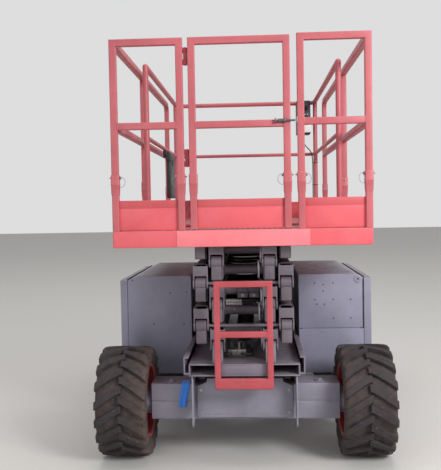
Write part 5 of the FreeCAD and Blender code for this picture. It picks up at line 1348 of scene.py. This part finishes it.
def extension():
    """Round tube rails on three sides of the sliding deck, box bracket, and the control cable with its ties."""
    x, (y0, y1) = EXT_X, EXT_Y
    shapes = []
    for z, radius in ((EXT_TOP, EXT_R), (RAIL_MID, EXT_MID_R)):
        path = bent([(-x, y0, z), (-x, y1, z), (x, y1, z), (x, y0, z)], EXT_BEND, 10)
        shapes.append(along(circle(radius, 20), path, (0, 0, 1)))
    for side in (-1, 1):
        for y in (y0, y1 - EXT_BEND):
            shapes.append(turned([(0, EXT_R), (EXT_TOP - EXT_DECK, EXT_R)], (side * x, y, EXT_DECK), (0, 0, 1), 20))
            shapes.append(turned([(0, 0.034), (0.006, 0.034), (0.009, 0.030), (0.010, EXT_R)], (side * x, y, EXT_DECK),
                                 (0, 0, 1), 20))
        shapes.append(turned(np.stack([EXT_R * np.sin(np.linspace(0, 1.4, 5)), EXT_R * np.cos(np.linspace(0, 1.4, 5))], 1),
                             (side * x, y0, EXT_TOP), (0, -1, 0), 20))
    bar_x = (CONTROL_X[0] + CONTROL_X[1]) / 2
    low = CONTROL_Z[0] - 0.0003
    reach = CONTROL_Y[1] - 0.112
    bracket = np.array([(y1, RAIL_MID), (y1, low), (reach, low), (y1 - 0.038, RAIL_MID)])
    shapes.append(slab(bracket, bar_x - 0.003, bar_x + 0.003, 0, 0.001))
    shapes.append(turned([(0, 0.0114), (EXT_TOP - RAIL_MID, 0.0114)], (bar_x, y1, RAIL_MID), (0, 0, 1), 16))
    piece("dressed_extension_rails", "extension", shapes, RAIL_RED, ("extension_rails",), 40)
    line = softened([(bar_x, 1.200, CONTROL_Z[0] + 0.002), (bar_x, 1.200, 2.110), (bar_x + 0.012, 1.202, 2.060),
                     (0.600, 1.206, 2.005), (0.612, 1.200, 1.930), (0.612, 1.196, 1.800), (0.611, 1.198, 1.600),
                     (0.612, 1.197, 1.470), (0.600, 1.205, 1.412), (0.590, 1.240, 1.4045), (0.560, 1.290, 1.4045)], 3, False)
    piece("control_cable", "extension", [hose(line, 0.0045, 10)], RUBBER, crease=60)
    ties = [turned([(-0.003, EXT_R + 0.0008), (-0.002, EXT_R + 0.0016), (0.002, EXT_R + 0.0016), (0.003, EXT_R + 0.0008)],
                   (x, y1 - EXT_BEND, z), (0, 0, 1), 20) for z in (1.900, 1.700, 1.500)]
    ties += [block((0.6060, 1.1915, z - 0.003), (0.6200, 1.2020, z + 0.003), 0.001) for z in (1.900, 1.700, 1.500)]
    piece("cable_ties", "extension", ties, PLASTIC, crease=60)


def extension_deck():
    """Sliding tread plate, and its toe board: a hemmed sheet carried round three sides."""
    x, y0, y1 = 0.660, -0.600, 1.312
    plate = block((-x + 0.001, y0, 1.386), (x - 0.001, y1 - 0.001, EXT_DECK), 0.002)
    piece("dressed_extension_plate", "extension", [plate], TREAD, ("extension_deck",))
    piece("extension_tread_bars", "extension", tread_bars(-x + 0.035, x - 0.035, y0 + 0.030, y1 - 0.035, EXT_DECK - 0.0002),
          WORN)
    high = 1.548
    low = 1.3865
    sheet = [(0, low), (0.004, low), (0.004, high - 0.012), (0.013, high - 0.012), (0.013, high), (0, high)]
    path = bent([(x, y0, 0), (x, y1, 0), (-x, y1, 0), (-x, y0, 0)], 0.014, 5)
    board = along(softened_corners(sheet, 0.0018), path, (0, 0, 1))
    rivets = [rivet((side * x, y, 1.420), (side, 0, 0), 0.006) for side in (-1, 1) for y in (-0.45, 0.05, 0.55, 1.05)]
    piece("extension_toe_board", "extension", [board] + rivets, RED, ("extension_deck",), 40)


def control_box():
    """Operator's box: moulded case on its hanging plate, control panel, lever, buttons and a blank plate."""
    (x0, x1), (y0, y1), (z0, z1) = CONTROL_X, CONTROL_Y, CONTROL_Z
    middle = (x0 + x1) / 2
    case = [block((x0, y0, z0), (x1, y1, z1), 0.010),
            block((x0 + 0.012, y0 - 0.001, z0 + 0.130), (x1 - 0.012, y0 + 0.004, z1 - 0.012), 0.003, 1),
            block((x0, y1 - 0.001, z1 - 0.018), (EXT_X - EXT_BEND, y1 + 0.0157, z1), 0.002)]
    lever = turned([(-0.002, 0.017), (0.004, 0.017), (0.010, 0.012), (0.016, 0.008), (0.040, 0.007), (0.046, 0.011),
                    (0.072, 0.012), (0.078, 0.008)], (middle + 0.022, y0 - 0.0005, z1 - 0.075), (0, -1, 0.25), 20)
    piece("dressed_control_box", "extension", case + [lever], PLASTIC, ("control_box",), 35)
    stop = turned([(-0.001, 0.010), (0.010, 0.010), (0.011, 0.017), (0.019, 0.0165), (0.022, 0.013)],
                  (middle - 0.030, y0, z1 - 0.060), (0, -1, 0), 24)
    piece("stop_button", "extension", [stop], BUTTON)
    plate = block((x0 + 0.003, y0 - 0.0025, z0 + 0.014), (x1 + 0.003, y0 + 0.001, z0 + 0.098), 0.001, 1)
    piece("blank_plate", "extension", [plate], WHITE)
    buttons = copies(turned([(-0.001, 0.008), (0.004, 0.008), (0.006, 0.006)], (0, 0, 0), (0, -1, 0), 16),
                     [(middle + dx, y0, z1 - 0.125) for dx in (-0.036, -0.012, 0.012, 0.036)])
    piece("panel_buttons", "extension", [buttons], ZINC)


def document_box():
    """Flat moulded box for papers, with an overhanging lid, a finger catch and two clips on the rail."""
    x0, x1 = -0.618, -0.582
    (y0, y1), (z0, z1) = PAPERS_Y, PAPERS_Z
    shapes = [block((x0 + 0.002, y0 + 0.004, z0), (x1 - 0.002, y1 - 0.004, z1 - 0.050), 0.008),
              block((x0, y0, z1 - 0.060), (x1, y1, z1), 0.008),
              block((x1 - 0.002, (y0 + y1) / 2 - 0.030, z1 - 0.085), (x1 + 0.003, (y0 + y1) / 2 + 0.030, z1 - 0.045), 0.003)]
    for y in (y0 + 0.040, y1 - 0.040):
        shapes.append(block((x0 - 0.025, y - 0.012, z1 - 0.030), (x0 + 0.004, y + 0.012, RAIL_MID - 0.0153), 0.003))
    piece("dressed_document_box", "extension", shapes, PLASTIC, ("document_box",), 35)


# Finishes of the solids that show as they are

NODE_FINISHES = (
    (STEEL, ("steering_bar",)), (CHROME, ("lift_rod",)), (ARM_GREY, ("lift_barrel",)), (IRON, ("engine",)),
    (TANK, ("tank",)),
)
ROUNDED_NODES = (
    ("frame", "chassis", FRAME_GREY), ("frame_floor", "chassis", FRAME_GREY), ("frame_ends", "chassis", FRAME_GREY),
    ("channels", "chassis", FRAME_GREY), ("front_axle", "chassis", GREY_LOW),
    ("hanger_rear_left", "chassis", GREY_LOW), ("hanger_rear_right", "chassis", GREY_LOW),
    ("hanger_front_left", "chassis", GREY_LOW), ("hanger_front_right", "chassis", GREY_LOW),
    ("knuckle_left", "knuckle_left", GREY_LOW), ("knuckle_right", "knuckle_right", GREY_LOW),
)
EDGE = 0.0015


def rounded_solid(name, body, look):
    """A solid's own form with every edge sharper than 35 degrees rounded, as the plate's cut edges are."""
    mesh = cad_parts[name].data.copy()
    mesh.name = "dressed_" + name
    work = bmesh.new()
    work.from_mesh(mesh)
    bmesh.ops.remove_doubles(work, verts=work.verts, dist=0.00002)
    bmesh.ops.dissolve_limit(work, angle_limit=math.radians(1.0), verts=work.verts, edges=work.edges)
    sharp = [edge for edge in work.edges if edge.is_manifold and edge.calc_face_angle() > math.radians(35)]
    bmesh.ops.bevel(work, geom=sharp, offset=EDGE, segments=2, profile=0.5, affect="EDGES", clamp_overlap=True)
    work.to_mesh(mesh)
    work.free()
    mesh.shade_smooth()
    mesh.set_sharp_from_angle(angle=math.radians(35))
    mesh.materials.clear()
    mesh.materials.append(look)
    made = bpy.data.objects.new("dressed_" + name, mesh)
    bpy.context.scene.collection.objects.link(made)
    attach(made, body)
    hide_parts(name)


def dress_solids():
    """Rounded copies of the plates, and finishes on the solids that stay."""
    for name, body, look in ROUNDED_NODES:
        rounded_solid(name, body, look)
    for look, nodes in NODE_FINISHES:
        for name in nodes:
            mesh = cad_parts[name].data
            mesh.materials.clear()
            mesh.materials.append(look)


def main():
    camera()
    floor()
    lights()
    wheels()
    rear_axle()
    rear_cover()
    ladder()
    strap()
    steering()
    for name, side in (("left", -1), ("right", 1)):
        hood(name, side)
        door(name, side)
        rear_rail(name, side)
        side_rail(name, side)
    hood_details()
    stack()
    gate()
    platform()
    extension_deck()
    extension()
    control_box()
    document_box()
    dress_solids()


main()
